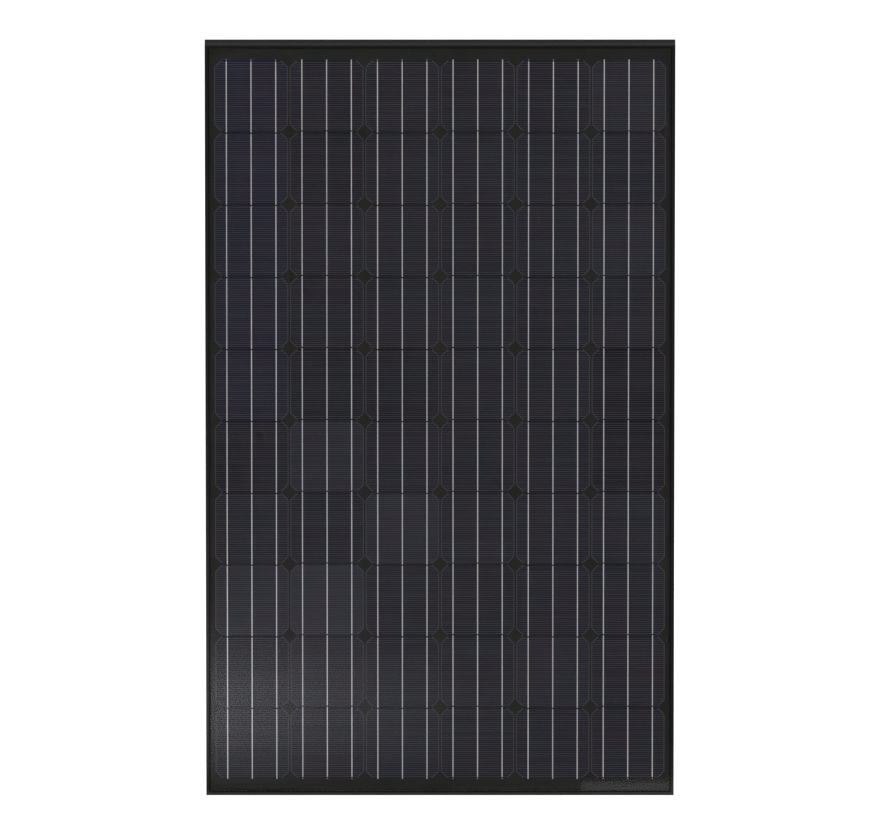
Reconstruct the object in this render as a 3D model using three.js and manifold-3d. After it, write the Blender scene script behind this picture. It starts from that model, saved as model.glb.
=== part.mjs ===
// Framed all-black photovoltaic module with pseudo-square cells, standing on its lower short edge.
// Millimetres, +Z up. The glass faces -Y, the junction box faces +Y, and the origin lies under
// the middle of the lower frame rail. Depths are measured back from the front face of the frame.

import * as THREE from 'three';
import { mergeVertices } from 'three/addons/utils/BufferGeometryUtils.js';
import Module from 'manifold-3d';

// Overall size
const panelHeight = 1650;
const panelWidth = 990;
const frameDepth = 40;

// Frame extrusion
const frameWall = 1.8;
const lipWidth = 6.5;
const lipThickness = 1.6;
const chamberWidth = 13;
const chamberHeight = 14.5;
const chamberWall = 1.6;
const flangeThickness = 1.8;
const sideFlangeWidth = 30;
const endFlangeWidth = 24;
const frameChamfer = 0.5;
const mitreGap = 0.15;

// How far a cutting tool runs past the face it cuts, and a welded piece runs into its neighbour
const cutPast = 1;
const weld = 1;

// Holes in the rear flanges
const slotLength = 14;
const slotWidth = 9;
const slotInset = 19;
const slotSpacings = [800, 1350];
const slotSegments = 12;
const earthingHoleDiameter = 5;
const earthingSpacing = 1080;
const drainHoleDiameter = 7;
const drainInset = 14;
const drainFromEnd = 60;

// Corner keys pressed into the hollow chambers
const keyLegLength = 55;
const keyPlay = 0.3;

// Laminate, from the front to the back
const glassInset = 3;
const glassThickness = 3.2;
const encapsulantThickness = 0.45;
const cellThickness = 0.2;
const ribbonThickness = 0.2;
const backsheetThickness = 0.35;
const sealAllowance = 0.55;
const sealPlay = 0.1;
const sealBead = 3;
const sealRearLeg = 6;

// Cells and their tabbing ribbons
const cellSize = 156;
const cornerTrim = 10.3;
const columnGap = 3;
const rowGap = 2;
const leastSideMargin = 18;
const leastEndMargin = 34;
const busbarOffsets = [-52, 0, 52];
const ribbonWidth = 2;
const ribbonSetback = 3;
const tailDrop = 1;

// Bus ribbons beyond the first and last cells
const busWidth = 6;
const busFirstRow = 5;
const busRowPitch = 9;
const busOverhang = 5;
const maskThickness = 0.1;
const maskStart = 1.2;
const maskPlay = 0.05;
const maskOverlap = 2;
const rimPlay = 1.5;

// Lead-out ribbons and the insulation behind them
const leadPitch = 30;
const leadWidth = 5;
const leadThickness = 0.2;
const leadLap = 8;
const slitPlay = 0.7;
const insulationThickness = 0.15;
const insulationMargin = 6;
const insulationShoulder = 2;
const insulationStop = 1;
const windowMargin = 3;

// Junction box
const boxWidth = 124;
const boxHeight = 96;
const boxDepth = 18;
const boxFromTop = 62;
const boxWall = 2;
const adhesiveThickness = 1.5;
const adhesiveInset = 1;
const adhesiveWidth = 9;
const slitFromBoxTop = 26;
const floorWindowMargin = 5;
const gasketThickness = 0.8;
const lidThickness = 2.5;
const lidPlay = 0.1;
const lidLipHeight = 2;
const lidLipWall = 1.5;
const lidLipPlay = 0.4;
const latchWidth = 12;
const latchOffset = 14;
const latchThickness = 1.5;
const latchLength = 9;
const latchPlay = 0.4;
const latchGrip = 1.2;

// Lid hinge
const hingeOffset = 4;
const knuckleRadius = 3.5;
const knuckleSegments = 20;
const pinRadius = 1.4;
const pinPlay = 0.2;
const lidKnuckleLength = 40;
const baseKnuckleLength = 12;
const knuckleGap = 0.4;

// Terminals and bypass diodes
const terminalWidth = 16;
const terminalLength = 18;
const terminalThickness = 1.2;
const terminalStand = 5;
const terminalBossWidth = 8;
const terminalBossSetback = 1;
const terminalFromSlit = 1.5;
const diodeFromSlit = 13;
const diodeRadius = 3.2;
const diodeLength = 9;
const diodeLegRadius = 0.6;
const diodeLegGap = 3;
const solderPlay = 0.05;

// Cable glands
const glandOffset = 38;
const glandShankRadius = 5.8;
const glandShankLength = 7;
const glandHolePlay = 0.3;
const glandCollarRadius = 7.4;
const glandCollarLength = 4;
const glandNeckLength = 10;
const glandBoreRadius = 3.6;
const glandPlay = 0.3;
const glandNutRadius = 7.8;
const glandNutWall = 1.5;
const glandSealLength = 3;
const glandSegments = 16;

// Blank rating label
const labelWidth = 120;
const labelHeight = 70;
const labelThickness = 0.15;
const labelOffset = 190;
const labelFromTop = 300;

// Depths of the laminate's layers
const glassFront = lipThickness + sealAllowance;
const frontEncapsulantFront = glassFront + glassThickness;
const cellLayerFront = frontEncapsulantFront + encapsulantThickness;
const cellFront = cellLayerFront + ribbonThickness;
const cellRear = cellFront + cellThickness;
const cellLayerRear = cellRear + ribbonThickness;
const backsheetFront = cellLayerRear + encapsulantThickness;
const backsheetRear = backsheetFront + backsheetThickness;
const grooveRear = backsheetRear + sealAllowance;
const chamberRear = grooveRear + chamberHeight;

// The cell field: whole rows, and strings in pairs because each pair shares one bypass diode
const rowPitch = cellSize + rowGap;
const columnPitch = cellSize + columnGap;
const rows = Math.floor((panelHeight - 2 * leastEndMargin + rowGap) / rowPitch);
const columns = 2 * Math.floor((panelWidth - 2 * leastSideMargin + columnGap) / columnPitch / 2);
const fieldHeight = rows * rowPitch - rowGap;
const fieldWidth = columns * columnPitch - columnGap;
const fieldBottom = (panelHeight - fieldHeight) / 2;
const fieldTop = fieldBottom + fieldHeight;
const busFirstEnd = busFirstRow + busWidth;
const busSecondEnd = busFirstEnd + busRowPitch;
const leadCount = columns / 2 + 1;
const ingotRadius = cellSize / Math.SQRT2 - cornerTrim;

// Places on the junction box
const boxTop = panelHeight - boxFromTop;
const boxBottom = boxTop - boxHeight;
const boxFront = backsheetRear + adhesiveThickness;
const boxRim = boxFront + boxDepth;
const boxFloor = boxFront + boxWall;
const slitHeight = boxTop - slitFromBoxTop;
const terminalFront = boxFloor + terminalStand;
const terminalRear = terminalFront + terminalThickness;
const lidFront = boxRim + gasketThickness + lidPlay;
const lidRear = lidFront + lidThickness;
const hingeDepth = (lidFront + lidRear) / 2;
const hingeHeight = boxTop + hingeOffset;
const glandDepth = (boxFront + boxRim) / 2;

const finish = (colour, roughness, metalness) =>
  new THREE.MeshStandardMaterial({ color: colour, roughness, metalness });
const blackAnodised = finish('#202022', 0.4, 0.7);
const clearGlass = finish('#c9d6d3', 0.1, 0);
const clearEncapsulant = finish('#dfe3e0', 0.3, 0);
const blackEncapsulant = finish('#17171a', 0.5, 0);
const siliconCell = finish('#16171f', 0.35, 0.1);
const blackBusRibbon = finish('#19191b', 0.5, 0.3);
const blackFilm = finish('#141416', 0.6, 0);
const mattSilicone = finish('#101011', 0.8, 0);
const millAluminium = finish('#a9abad', 0.45, 0.9);
const blackMoulding = finish('#18181a', 0.55, 0);
const tinnedCopper = finish('#b9b6ae', 0.3, 1);
const diodeBody = finish('#1c1c1e', 0.4, 0);
const stainlessSteel = finish('#9d9fa1', 0.3, 1);
const labelFilm = finish('#c4c5c3', 0.5, 0);

const wasm = await Module();
wasm.setup();

const panel = new THREE.Group();

function add(name, geometry, material) {
  const mesh = new THREE.Mesh(geometry, material);
  mesh.name = name;
  panel.add(mesh);
  return mesh;
}

// A depth behind the frame's front face, as a Y coordinate.
function atDepth(depth) {
  return depth - frameDepth / 2;
}

function toSolid(geometry) {
  const bare = geometry.clone();
  bare.deleteAttribute('normal');
  bare.deleteAttribute('uv');
  const merged = mergeVertices(bare, 1e-4);
  return new wasm.Manifold(new wasm.Mesh({
    numProp: 3,
    vertProperties: Float32Array.from(merged.attributes.position.array),
    triVerts: Uint32Array.from(merged.index.array),
  }));
}

function toGeometry(solid) {
  const mesh = solid.getMesh();
  const geometry = new THREE.BufferGeometry();
  geometry.setAttribute('position', new THREE.BufferAttribute(mesh.vertProperties, 3));
  geometry.setIndex(new THREE.BufferAttribute(mesh.triVerts, 1));
  return geometry;
}

function joined(geometries) {
  return geometries.map(toSolid).reduce((whole, piece) => whole.add(piece));
}

function without(solid, geometries) {
  return geometries.map(toSolid).reduce((rest, tool) => rest.subtract(tool), solid);
}

// A box between two corners, the middle pair being depths.
function block(x0, x1, depth0, depth1, z0, z1) {
  const geometry = new THREE.BoxGeometry(1, 1, 1);
  const position = geometry.attributes.position;
  for (let i = 0; i < position.count; i += 1) {
    const x = position.getX(i) < 0 ? x0 : x1;
    const y = atDepth(position.getY(i) < 0 ? depth0 : depth1);
    const z = position.getZ(i) < 0 ? z0 : z1;
    position.setXYZ(i, x, y, z);
  }
  return geometry;
}

// A flat sheet whose outline is drawn in X and Z.
function sheet(shape, depth0, depth1, curveSegments = 1) {
  const geometry = new THREE.ExtrudeGeometry(shape, { depth: 1, bevelEnabled: false, curveSegments });
  const position = geometry.attributes.position;
  for (let i = 0; i < position.count; i += 1) {
    const y = atDepth(position.getZ(i) > 0.5 ? depth0 : depth1);
    position.setXYZ(i, position.getX(i), y, position.getY(i));
  }
  return geometry;
}

// A bar along X whose section is drawn as points of height and depth.
function barAlongX(section, x0, x1) {
  const shape = new THREE.Shape(section.map(([z, depth]) => new THREE.Vector2(z, atDepth(depth))));
  const geometry = new THREE.ExtrudeGeometry(shape, { depth: 1, bevelEnabled: false });
  const position = geometry.attributes.position;
  for (let i = 0; i < position.count; i += 1) {
    const x = position.getZ(i) > 0.5 ? x0 : x1;
    position.setXYZ(i, x, position.getY(i), position.getX(i));
  }
  return geometry;
}

function cylinderAlongX(radius, x0, x1, depth, z, segments) {
  const geometry = new THREE.CylinderGeometry(radius, radius, x1 - x0, segments);
  geometry.rotateZ(Math.PI / 2);
  geometry.translate((x0 + x1) / 2, atDepth(depth), z);
  return geometry;
}

// The four sides of the frame, each turned about Y so that a section drawn inwards from the
// outer face runs along its rail: the left rail upwards, then top, right and bottom.
const frameSides = [
  { name: 'left', turn: 0, length: panelHeight, x: -panelWidth / 2, z: 0, flange: sideFlangeWidth },
  { name: 'top', turn: 1, length: panelWidth, x: -panelWidth / 2, z: panelHeight, flange: endFlangeWidth },
  { name: 'right', turn: 2, length: panelHeight, x: panelWidth / 2, z: panelHeight, flange: sideFlangeWidth },
  { name: 'bottom', turn: 3, length: panelWidth, x: panelWidth / 2, z: 0, flange: endFlangeWidth },
];

function placeOnSide(mesh, side) {
  mesh.rotation.y = side.turn * Math.PI / 2;
  mesh.position.set(side.x, 0, side.z);
}

// A section of inward distance and depth, run along a side and mitred at both ends.
function mitredRun(outline, hole, side) {
  const toPoint = ([inward, depth]) => new THREE.Vector2(inward, atDepth(depth));
  const shape = new THREE.Shape(outline.map(toPoint));
  if (hole) shape.holes.push(new THREE.Path(hole.map(toPoint)));
  const geometry = new THREE.ExtrudeGeometry(shape, { depth: 1, bevelEnabled: false });
  const position = geometry.attributes.position;
  for (let i = 0; i < position.count; i += 1) {
    const cut = position.getX(i) + mitreGap;
    position.setZ(i, position.getZ(i) > 0.5 ? side.length - cut : cut);
  }
  return geometry;
}

// A round or slotted punch through the rear flange, in a side's own frame.
function flangePunch(inward, along, width, length) {
  const radius = width / 2;
  const straight = (length - width) / 2;
  const shape = new THREE.Shape();
  shape.absarc(inward, along + straight, radius, 0, Math.PI, false);
  shape.absarc(inward, along - straight, radius, Math.PI, 2 * Math.PI, false);
  return sheet(shape, frameDepth - flangeThickness - cutPast, frameDepth + cutPast, slotSegments / 2);
}

function frameRail(side) {
  const outline = [
    [0, frameChamfer],
    [frameChamfer, 0],
    [lipWidth, 0],
    [lipWidth, lipThickness],
    [frameWall, lipThickness],
    [frameWall, grooveRear],
    [chamberWidth, grooveRear],
    [chamberWidth, chamberRear],
    [frameWall, chamberRear],
    [frameWall, frameDepth - flangeThickness],
    [side.flange, frameDepth - flangeThickness],
    [side.flange, frameDepth],
    [frameChamfer, frameDepth],
    [0, frameDepth - frameChamfer],
  ];
  const chamber = [
    [frameWall, grooveRear + chamberWall],
    [chamberWidth - chamberWall, grooveRear + chamberWall],
    [chamberWidth - chamberWall, chamberRear - chamberWall],
    [frameWall, chamberRear - chamberWall],
  ];
  const middle = side.length / 2;
  const punches = [];
  if (side.turn % 2 === 0) {
    for (const way of [-1, 1]) {
      for (const spacing of slotSpacings) {
        punches.push(flangePunch(slotInset, middle + way * spacing / 2, slotWidth, slotLength));
      }
      const earthing = middle + way * earthingSpacing / 2;
      punches.push(flangePunch(slotInset, earthing, earthingHoleDiameter, earthingHoleDiameter));
    }
  } else {
    for (const along of [drainFromEnd, side.length - drainFromEnd]) {
      punches.push(flangePunch(drainInset, along, drainHoleDiameter, drainHoleDiameter));
    }
  }
  const rail = without(toSolid(mitredRun(outline, chamber, side)), punches);
  placeOnSide(add(`frame_${side.name}`, toGeometry(rail), blackAnodised), side);
}

// Silicone that beds the laminate's edge in the frame's groove, squeezed out as a thin front bead.
function edgeSeal(side) {
  const outer = frameWall + sealPlay;
  const web = glassInset - sealPlay;
  const front = lipThickness + sealPlay;
  const rear = grooveRear - sealPlay;
  const outline = [
    [outer, front],
    [lipWidth + sealBead, front],
    [lipWidth + sealBead, glassFront - sealPlay],
    [web, glassFront - sealPlay],
    [web, backsheetRear + sealPlay],
    [outer + sealRearLeg, backsheetRear + sealPlay],
    [outer + sealRearLeg, rear],
    [outer, rear],
  ];
  placeOnSide(add(`edge_seal_${side.name}`, mitredRun(outline, null, side), mattSilicone), side);
}

// L-shaped key joining this side's rail to the one before it.
function cornerKey(side, name) {
  const near = frameWall + keyPlay;
  const far = chamberWidth - chamberWall - keyPlay;
  const outline = [[near, near], [keyLegLength, near], [keyLegLength, far], [far, far], [far, keyLegLength],
    [near, keyLegLength]];
  const shape = new THREE.Shape(outline.map(([inward, along]) => new THREE.Vector2(inward, along)));
  const front = grooveRear + chamberWall + keyPlay;
  const rear = chamberRear - chamberWall - keyPlay;
  placeOnSide(add(`corner_key_${name}`, sheet(shape, front, rear), millAluminium), side);
}

const cornerNames = ['bottom_left', 'top_left', 'top_right', 'bottom_right'];
frameSides.forEach(frameRail);
frameSides.forEach(edgeSeal);
frameSides.forEach((side, i) => cornerKey(side, cornerNames[i]));

// The laminate's full-size layers share one outline.
const laminateHalfWidth = panelWidth / 2 - glassInset;
const laminateBottom = glassInset;
const laminateTop = panelHeight - glassInset;

function laminateLayer(depth0, depth1) {
  return block(-laminateHalfWidth, laminateHalfWidth, depth0, depth1, laminateBottom, laminateTop);
}

add('front_glass', laminateLayer(glassFront, frontEncapsulantFront), clearGlass);
add('front_encapsulant', laminateLayer(frontEncapsulantFront, cellLayerFront), clearEncapsulant);

function columnX(column) {
  return (column - (columns - 1) / 2) * columnPitch;
}

function leadX(lead) {
  return (lead - (leadCount - 1) / 2) * leadPitch;
}

// Pseudo-square wafer: a square whose corners are cut by the round ingot that it was sawn from.
function cell(x, z) {
  const half = cellSize / 2;
  const first = Math.acos(half / ingotRadius);
  const second = Math.asin(half / ingotRadius);
  const shape = new THREE.Shape();
  for (let quarter = 0; quarter < 4; quarter += 1) {
    const turn = quarter * Math.PI / 2;
    shape.absarc(x, z, ingotRadius, turn + first, turn + second, false);
  }
  return sheet(shape, cellFront, cellRear);
}

// One ribbon runs over the front of a cell, dives through the gap and runs under the next cell.
// Along the string, distance is counted from the edge of its first cell.
function ribbonSection(index, startReach, endReach) {
  const front = [cellLayerFront, cellFront];
  const rear = [cellRear, cellLayerRear];
  const tail = [cellFront, cellRear];
  const from = index * rowPitch;
  const over = [];
  if (index > 0) {
    over.push([from - rowPitch + ribbonSetback, front], [from - rowGap, front]);
  } else {
    over.push([-startReach, tail], [-tailDrop, tail]);
  }
  if (index < rows) {
    over.push([from, rear], [from + cellSize - ribbonSetback, rear]);
  } else {
    over.push([fieldHeight + tailDrop, tail], [fieldHeight + endReach, tail]);
  }
  const frontEdge = over.map(([along, level]) => [along, level[0]]);
  const rearEdge = over.map(([along, level]) => [along, level[1]]).reverse();
  return frontEdge.concat(rearEdge);
}

// Odd strings run downwards and even ones upwards, so neighbours join in series at their ends.
function cellString(column) {
  const x = columnX(column);
  const downwards = column % 2 === 0;
  const outermost = column === 0 || column === columns - 1;
  const topReach = outermost ? busSecondEnd : busFirstEnd;
  const startReach = downwards ? topReach : busFirstEnd;
  const endReach = downwards ? busFirstEnd : topReach;
  const height = (along) => (downwards ? fieldTop - along : fieldBottom + along);
  const pieces = [];
  for (let row = 0; row < rows; row += 1) {
    pieces.push(cell(x, height(row * rowPitch + cellSize / 2)));
  }
  for (const offset of busbarOffsets) {
    const left = x + offset - ribbonWidth / 2;
    for (let index = 0; index <= rows; index += 1) {
      const section = ribbonSection(index, startReach, endReach);
      const placed = section.map(([along, depth]) => [height(along), depth]);
      pieces.push(barAlongX(placed, left, left + ribbonWidth));
    }
  }
  add(`cell_string_${column + 1}`, toGeometry(joined(pieces)), siliconCell);
}

for (let column = 0; column < columns; column += 1) cellString(column);

// Bus ribbons lie behind the ribbon tails, in a first row and, for the outermost strings, a second.
function busRibbon(name, x0, x1, z0) {
  add(name, block(x0, x1, cellRear, cellLayerRear, z0, z0 + busWidth), blackBusRibbon);
}

const busReach = Math.max(...busbarOffsets) + ribbonWidth / 2 + busOverhang;
for (let pair = 0; pair < columns / 2; pair += 1) {
  const left = columnX(2 * pair) - busReach;
  const right = columnX(2 * pair + 1) + busReach;
  busRibbon(`bottom_bus_${pair + 1}`, left, right, fieldBottom - busFirstEnd);
}
for (let lead = 0; lead < leadCount; lead += 1) {
  const first = lead === 0;
  const last = lead === leadCount - 1;
  const centre = leadX(lead);
  const left = first ? columnX(0) - busReach : columnX(2 * lead - 1) - busReach;
  const right = last ? columnX(columns - 1) + busReach : columnX(2 * lead) + busReach;
  const x0 = Math.min(left, centre - leadWidth / 2);
  const x1 = Math.max(right, centre + leadWidth / 2);
  const row = first || last ? busSecondEnd : busFirstEnd;
  busRibbon(`top_bus_${lead + 1}`, x0, x1, fieldTop + row - busWidth);
}

// Black film strips that hide the bus ribbons from the front.
function maskStrip(name, z0, z1) {
  const half = fieldWidth / 2;
  const front = cellLayerFront + maskPlay;
  add(name, block(-half, half, front, front + maskThickness, z0, z1), blackFilm);
}

maskStrip('bus_mask_top', fieldTop + maskStart, fieldTop + busSecondEnd + maskOverlap);
maskStrip('bus_mask_bottom', fieldBottom - busFirstEnd - maskOverlap, fieldBottom - maskStart);

// The rear encapsulant is pigmented black. Its window takes the lead-outs and their insulation.
const leadSpread = leadX(leadCount - 1) + leadWidth / 2;
const insulationHalf = leadSpread + insulationMargin;
const insulationBottom = slitHeight - insulationMargin;
const windowHalf = insulationHalf + windowMargin;
const windowBottom = insulationBottom - windowMargin;
const windowTop = fieldTop + busSecondEnd + windowMargin;

function rearEncapsulant() {
  const rimHalf = fieldWidth / 2 + rimPlay;
  const rimBottom = fieldBottom - busFirstEnd - maskOverlap - rimPlay;
  const rimTop = fieldTop + busSecondEnd + maskOverlap + rimPlay;
  const whole = toSolid(laminateLayer(cellLayerFront, backsheetFront));
  const recess = block(-rimHalf, rimHalf, cellLayerFront - cutPast, cellLayerRear, rimBottom, rimTop);
  const window = block(-windowHalf, windowHalf, cellLayerFront - cutPast, backsheetFront + cutPast,
    windowBottom, windowTop);
  add('rear_encapsulant', toGeometry(without(whole, [recess, window])), blackEncapsulant);
}

rearEncapsulant();

// U-shaped film: its two ears keep the outer lead-outs off the bus ribbons that they cross.
function insulationStrip() {
  const ear = leadX(leadCount - 2) + leadWidth / 2 + insulationShoulder;
  const shoulder = fieldTop + busFirstRow - insulationShoulder;
  const top = fieldTop + busSecondEnd - busWidth - insulationStop;
  const outline = [
    [-insulationHalf, insulationBottom],
    [insulationHalf, insulationBottom],
    [insulationHalf, top],
    [ear, top],
    [ear, shoulder],
    [-ear, shoulder],
    [-ear, top],
    [-insulationHalf, top],
  ];
  const shape = new THREE.Shape(outline.map(([x, z]) => new THREE.Vector2(x, z)));
  const geometry = sheet(shape, cellLayerRear, cellLayerRear + insulationThickness);
  add('lead_insulation', geometry, blackFilm);
}

insulationStrip();

const leadFront = backsheetFront - solderPlay - leadThickness;
const leadRear = backsheetFront - solderPlay;

function backsheet() {
  const slits = [];
  for (let lead = 0; lead < leadCount; lead += 1) {
    const half = leadWidth / 2 + slitPlay;
    const z0 = slitHeight - slitPlay;
    const z1 = slitHeight + leadThickness + slitPlay;
    const centre = leadX(lead);
    slits.push(block(centre - half, centre + half, backsheetFront - cutPast, backsheetRear + cutPast, z0, z1));
  }
  const whole = toSolid(laminateLayer(backsheetFront, backsheetRear));
  add('backsheet', toGeometry(without(whole, slits)), blackFilm);
}

backsheet();

// Ribbon soldered to a top bus, led down behind the cells, out through its slit and over a terminal.
function leadOut(lead) {
  const outermost = lead === 0 || lead === leadCount - 1;
  const busTop = fieldTop + (outermost ? busSecondEnd : busFirstEnd);
  const busBottom = busTop - busWidth;
  const overTerminal = terminalRear + solderPlay;
  const section = [
    [busTop, cellLayerRear],
    [busTop, leadRear],
    [slitHeight + leadThickness, leadRear],
    [slitHeight + leadThickness, overTerminal + leadThickness],
    [slitHeight - leadLap, overTerminal + leadThickness],
    [slitHeight - leadLap, overTerminal],
    [slitHeight, overTerminal],
    [slitHeight, leadFront],
    [busBottom, leadFront],
    [busBottom, cellLayerRear],
  ];
  const x = leadX(lead);
  add(`lead_out_${lead + 1}`, barAlongX(section, x - leadWidth / 2, x + leadWidth / 2), tinnedCopper);
}

for (let lead = 0; lead < leadCount; lead += 1) leadOut(lead);

// A flat rectangular ring between two inset outlines of the junction box.
function boxRing(outerInset, innerInset, depth0, depth1) {
  const half = boxWidth / 2;
  const outer = block(-half + outerInset, half - outerInset, depth0, depth1, boxBottom + outerInset,
    boxTop - outerInset);
  const inner = block(-half + innerInset, half - innerInset, depth0 - cutPast, depth1 + cutPast,
    boxBottom + innerInset, boxTop - innerInset);
  return without(toSolid(outer), [inner]);
}

const adhesiveRing = boxRing(adhesiveInset, adhesiveInset + adhesiveWidth, backsheetRear, boxFront);
add('junction_adhesive', toGeometry(adhesiveRing), mattSilicone);

const lidKnuckleEnd = lidKnuckleLength / 2;
const baseKnuckleStart = lidKnuckleEnd + knuckleGap;
const baseKnuckleEnd = baseKnuckleStart + baseKnuckleLength;

function knuckle(x0, x1) {
  return cylinderAlongX(knuckleRadius, x0, x1, hingeDepth, hingeHeight, knuckleSegments);
}

function pinBore() {
  const reach = baseKnuckleEnd + cutPast;
  return cylinderAlongX(pinRadius + pinPlay, -reach, reach, hingeDepth, hingeHeight, knuckleSegments);
}

// Arm from the top of the base out to one of its two hinge knuckles, kept below the lid.
function baseHingeArm(x0, x1) {
  const rear = lidFront - lidPlay;
  const section = [
    [boxTop - boxWall / 2, boxRim],
    [boxTop - boxWall / 2, boxRim - 2 * knuckleRadius],
    [boxTop, boxRim - 2 * knuckleRadius],
    [hingeHeight + pinRadius, rear],
    [boxTop + lidPlay, rear],
    [boxTop + lidPlay, boxRim],
  ];
  return barAlongX(section, x0, x1);
}

function glandCylinder(radius, z0, z1, x) {
  const geometry = new THREE.CylinderGeometry(radius, radius, z1 - z0, glandSegments);
  geometry.rotateX(Math.PI / 2);
  geometry.translate(x, atDepth(glandDepth), (z0 + z1) / 2);
  return geometry;
}

function junctionBase() {
  const half = boxWidth / 2;
  const shell = block(-half, half, boxFront, boxRim, boxBottom, boxTop);
  const hollow = block(-half + boxWall, half - boxWall, boxFloor, boxRim + cutPast, boxBottom + boxWall,
    boxTop - boxWall);
  const windowReach = leadSpread + floorWindowMargin;
  const window = block(-windowReach, windowReach, boxFront - cutPast, boxFloor + cutPast,
    slitHeight - floorWindowMargin, slitHeight + floorWindowMargin);
  const holes = [-glandOffset, glandOffset].map((x) =>
    glandCylinder(glandShankRadius + glandHolePlay, boxBottom - cutPast, boxBottom + boxWall + cutPast, x));
  const bosses = [];
  for (let lead = 0; lead < leadCount; lead += 1) {
    const x = leadX(lead);
    const top = slitHeight - floorWindowMargin - terminalBossSetback;
    const bottom = slitHeight - terminalFromSlit - terminalLength;
    const halfBoss = terminalBossWidth / 2;
    bosses.push(block(x - halfBoss, x + halfBoss, boxFloor - boxWall / 2, terminalFront, bottom, top));
  }
  const arms = [];
  for (const [x0, x1] of [[-baseKnuckleEnd, -baseKnuckleStart], [baseKnuckleStart, baseKnuckleEnd]]) {
    arms.push(baseHingeArm(x0, x1), knuckle(x0, x1));
  }
  const tray = without(toSolid(shell), [hollow, window, ...holes]);
  const base = [...bosses, ...arms].map(toSolid).reduce((whole, piece) => whole.add(piece), tray);
  add('junction_base', toGeometry(without(base, [pinBore()])), blackMoulding);
}

junctionBase();

add('lid_gasket', toGeometry(boxRing(0, boxWall, boxRim, boxRim + gasketThickness)), mattSilicone);

// Spring tongue on the lid's free edge, with a grip at its end.
function latchTongue(x) {
  const inner = boxBottom - latchPlay;
  const outer = inner - latchThickness;
  const front = lidRear - latchLength - lidThickness;
  const section = [
    [boxBottom + weld, lidFront],
    [inner, lidFront],
    [inner, front],
    [outer - latchGrip, front],
    [outer - latchGrip, front + latchGrip],
    [outer, front + 2 * latchGrip],
    [outer, lidRear],
    [boxBottom + weld, lidRear],
  ];
  return barAlongX(section, x - latchWidth / 2, x + latchWidth / 2);
}

function junctionLid() {
  const half = boxWidth / 2;
  const plate = block(-half, half, lidFront, lidRear, boxBottom, boxTop);
  const lipInset = boxWall + lidLipPlay;
  const lip = boxRing(lipInset, lipInset + lidLipWall, lidFront - lidPlay - gasketThickness - lidLipHeight,
    lidFront + weld);
  const arm = block(-lidKnuckleEnd, lidKnuckleEnd, lidFront, lidRear, boxTop - weld, hingeHeight);
  const pieces = [plate, arm, knuckle(-lidKnuckleEnd, lidKnuckleEnd), latchTongue(-latchOffset),
    latchTongue(latchOffset)];
  const whole = joined(pieces).add(lip);
  add('junction_lid', toGeometry(without(whole, [pinBore()])), blackMoulding);
}

junctionLid();

add('lid_hinge_pin', cylinderAlongX(pinRadius, -baseKnuckleEnd, baseKnuckleEnd, hingeDepth, hingeHeight,
  knuckleSegments), stainlessSteel);

for (let lead = 0; lead < leadCount; lead += 1) {
  const x = leadX(lead);
  const top = slitHeight - terminalFromSlit;
  const plate = block(x - terminalWidth / 2, x + terminalWidth / 2, terminalFront, terminalRear,
    top - terminalLength, top);
  add(`terminal_${lead + 1}`, plate, tinnedCopper);
}

// Axial diode between two terminals: a moulded body with a stiff leg at each end.
function bypassDiode(index) {
  const legEnd = leadPitch / 2 - diodeLegGap;
  const bodyEnd = diodeLength / 2;
  const profile = [
    [0, -legEnd],
    [diodeLegRadius, -legEnd],
    [diodeLegRadius, -bodyEnd],
    [diodeRadius, -bodyEnd],
    [diodeRadius, bodyEnd],
    [diodeLegRadius, bodyEnd],
    [diodeLegRadius, legEnd],
    [0, legEnd],
  ];
  const points = profile.map(([r, along]) => new THREE.Vector2(r, along));
  const geometry = new THREE.LatheGeometry(points, glandSegments);
  geometry.rotateZ(-Math.PI / 2);
  const x = (leadX(index) + leadX(index + 1)) / 2;
  geometry.translate(x, atDepth(terminalRear + diodeLegRadius + solderPlay), slitHeight - diodeFromSlit);
  add(`bypass_diode_${index + 1}`, geometry, diodeBody);
}

for (let index = 0; index < leadCount - 1; index += 1) bypassDiode(index);

// A turned ring about a cable's line; its profile is radius and distance out from the box wall.
function glandTurning(name, profile, x, material) {
  const closed = [...profile, profile[0]];
  const points = closed.map(([r, out]) => new THREE.Vector2(r, -out));
  const geometry = new THREE.LatheGeometry(points.reverse(), glandSegments);
  geometry.rotateX(Math.PI / 2);
  geometry.translate(x, atDepth(glandDepth), boxBottom);
  add(name, geometry, material);
}

function cableGland(x, side) {
  const collarStart = glandPlay;
  const collarEnd = collarStart + glandCollarLength;
  const neckEnd = collarEnd + glandNeckLength;
  const nutStart = collarEnd + glandPlay;
  const sealStart = neckEnd + glandPlay;
  const sealEnd = sealStart + glandSealLength;
  const nutEnd = sealEnd + glandPlay + glandNutWall;
  const neckBore = glandShankRadius + glandPlay;
  glandTurning(`gland_body_${side}`, [
    [glandBoreRadius, -glandShankLength],
    [glandShankRadius, -glandShankLength],
    [glandShankRadius, collarStart],
    [glandCollarRadius, collarStart],
    [glandCollarRadius, collarEnd],
    [glandShankRadius, collarEnd],
    [glandShankRadius, neckEnd],
    [glandBoreRadius, neckEnd],
  ], x, blackMoulding);
  glandTurning(`gland_seal_${side}`, [
    [glandBoreRadius, sealStart],
    [neckBore - glandPlay, sealStart],
    [neckBore - glandPlay, sealEnd],
    [glandBoreRadius, sealEnd],
  ], x, mattSilicone);
  glandTurning(`gland_nut_${side}`, [
    [neckBore, nutStart],
    [glandNutRadius, nutStart],
    [glandNutRadius, sealStart],
    [glandNutRadius - glandNutWall, nutEnd],
    [glandBoreRadius, nutEnd],
    [glandBoreRadius, sealEnd + glandPlay],
    [neckBore, sealEnd + glandPlay],
  ], x, blackMoulding);
}

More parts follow.
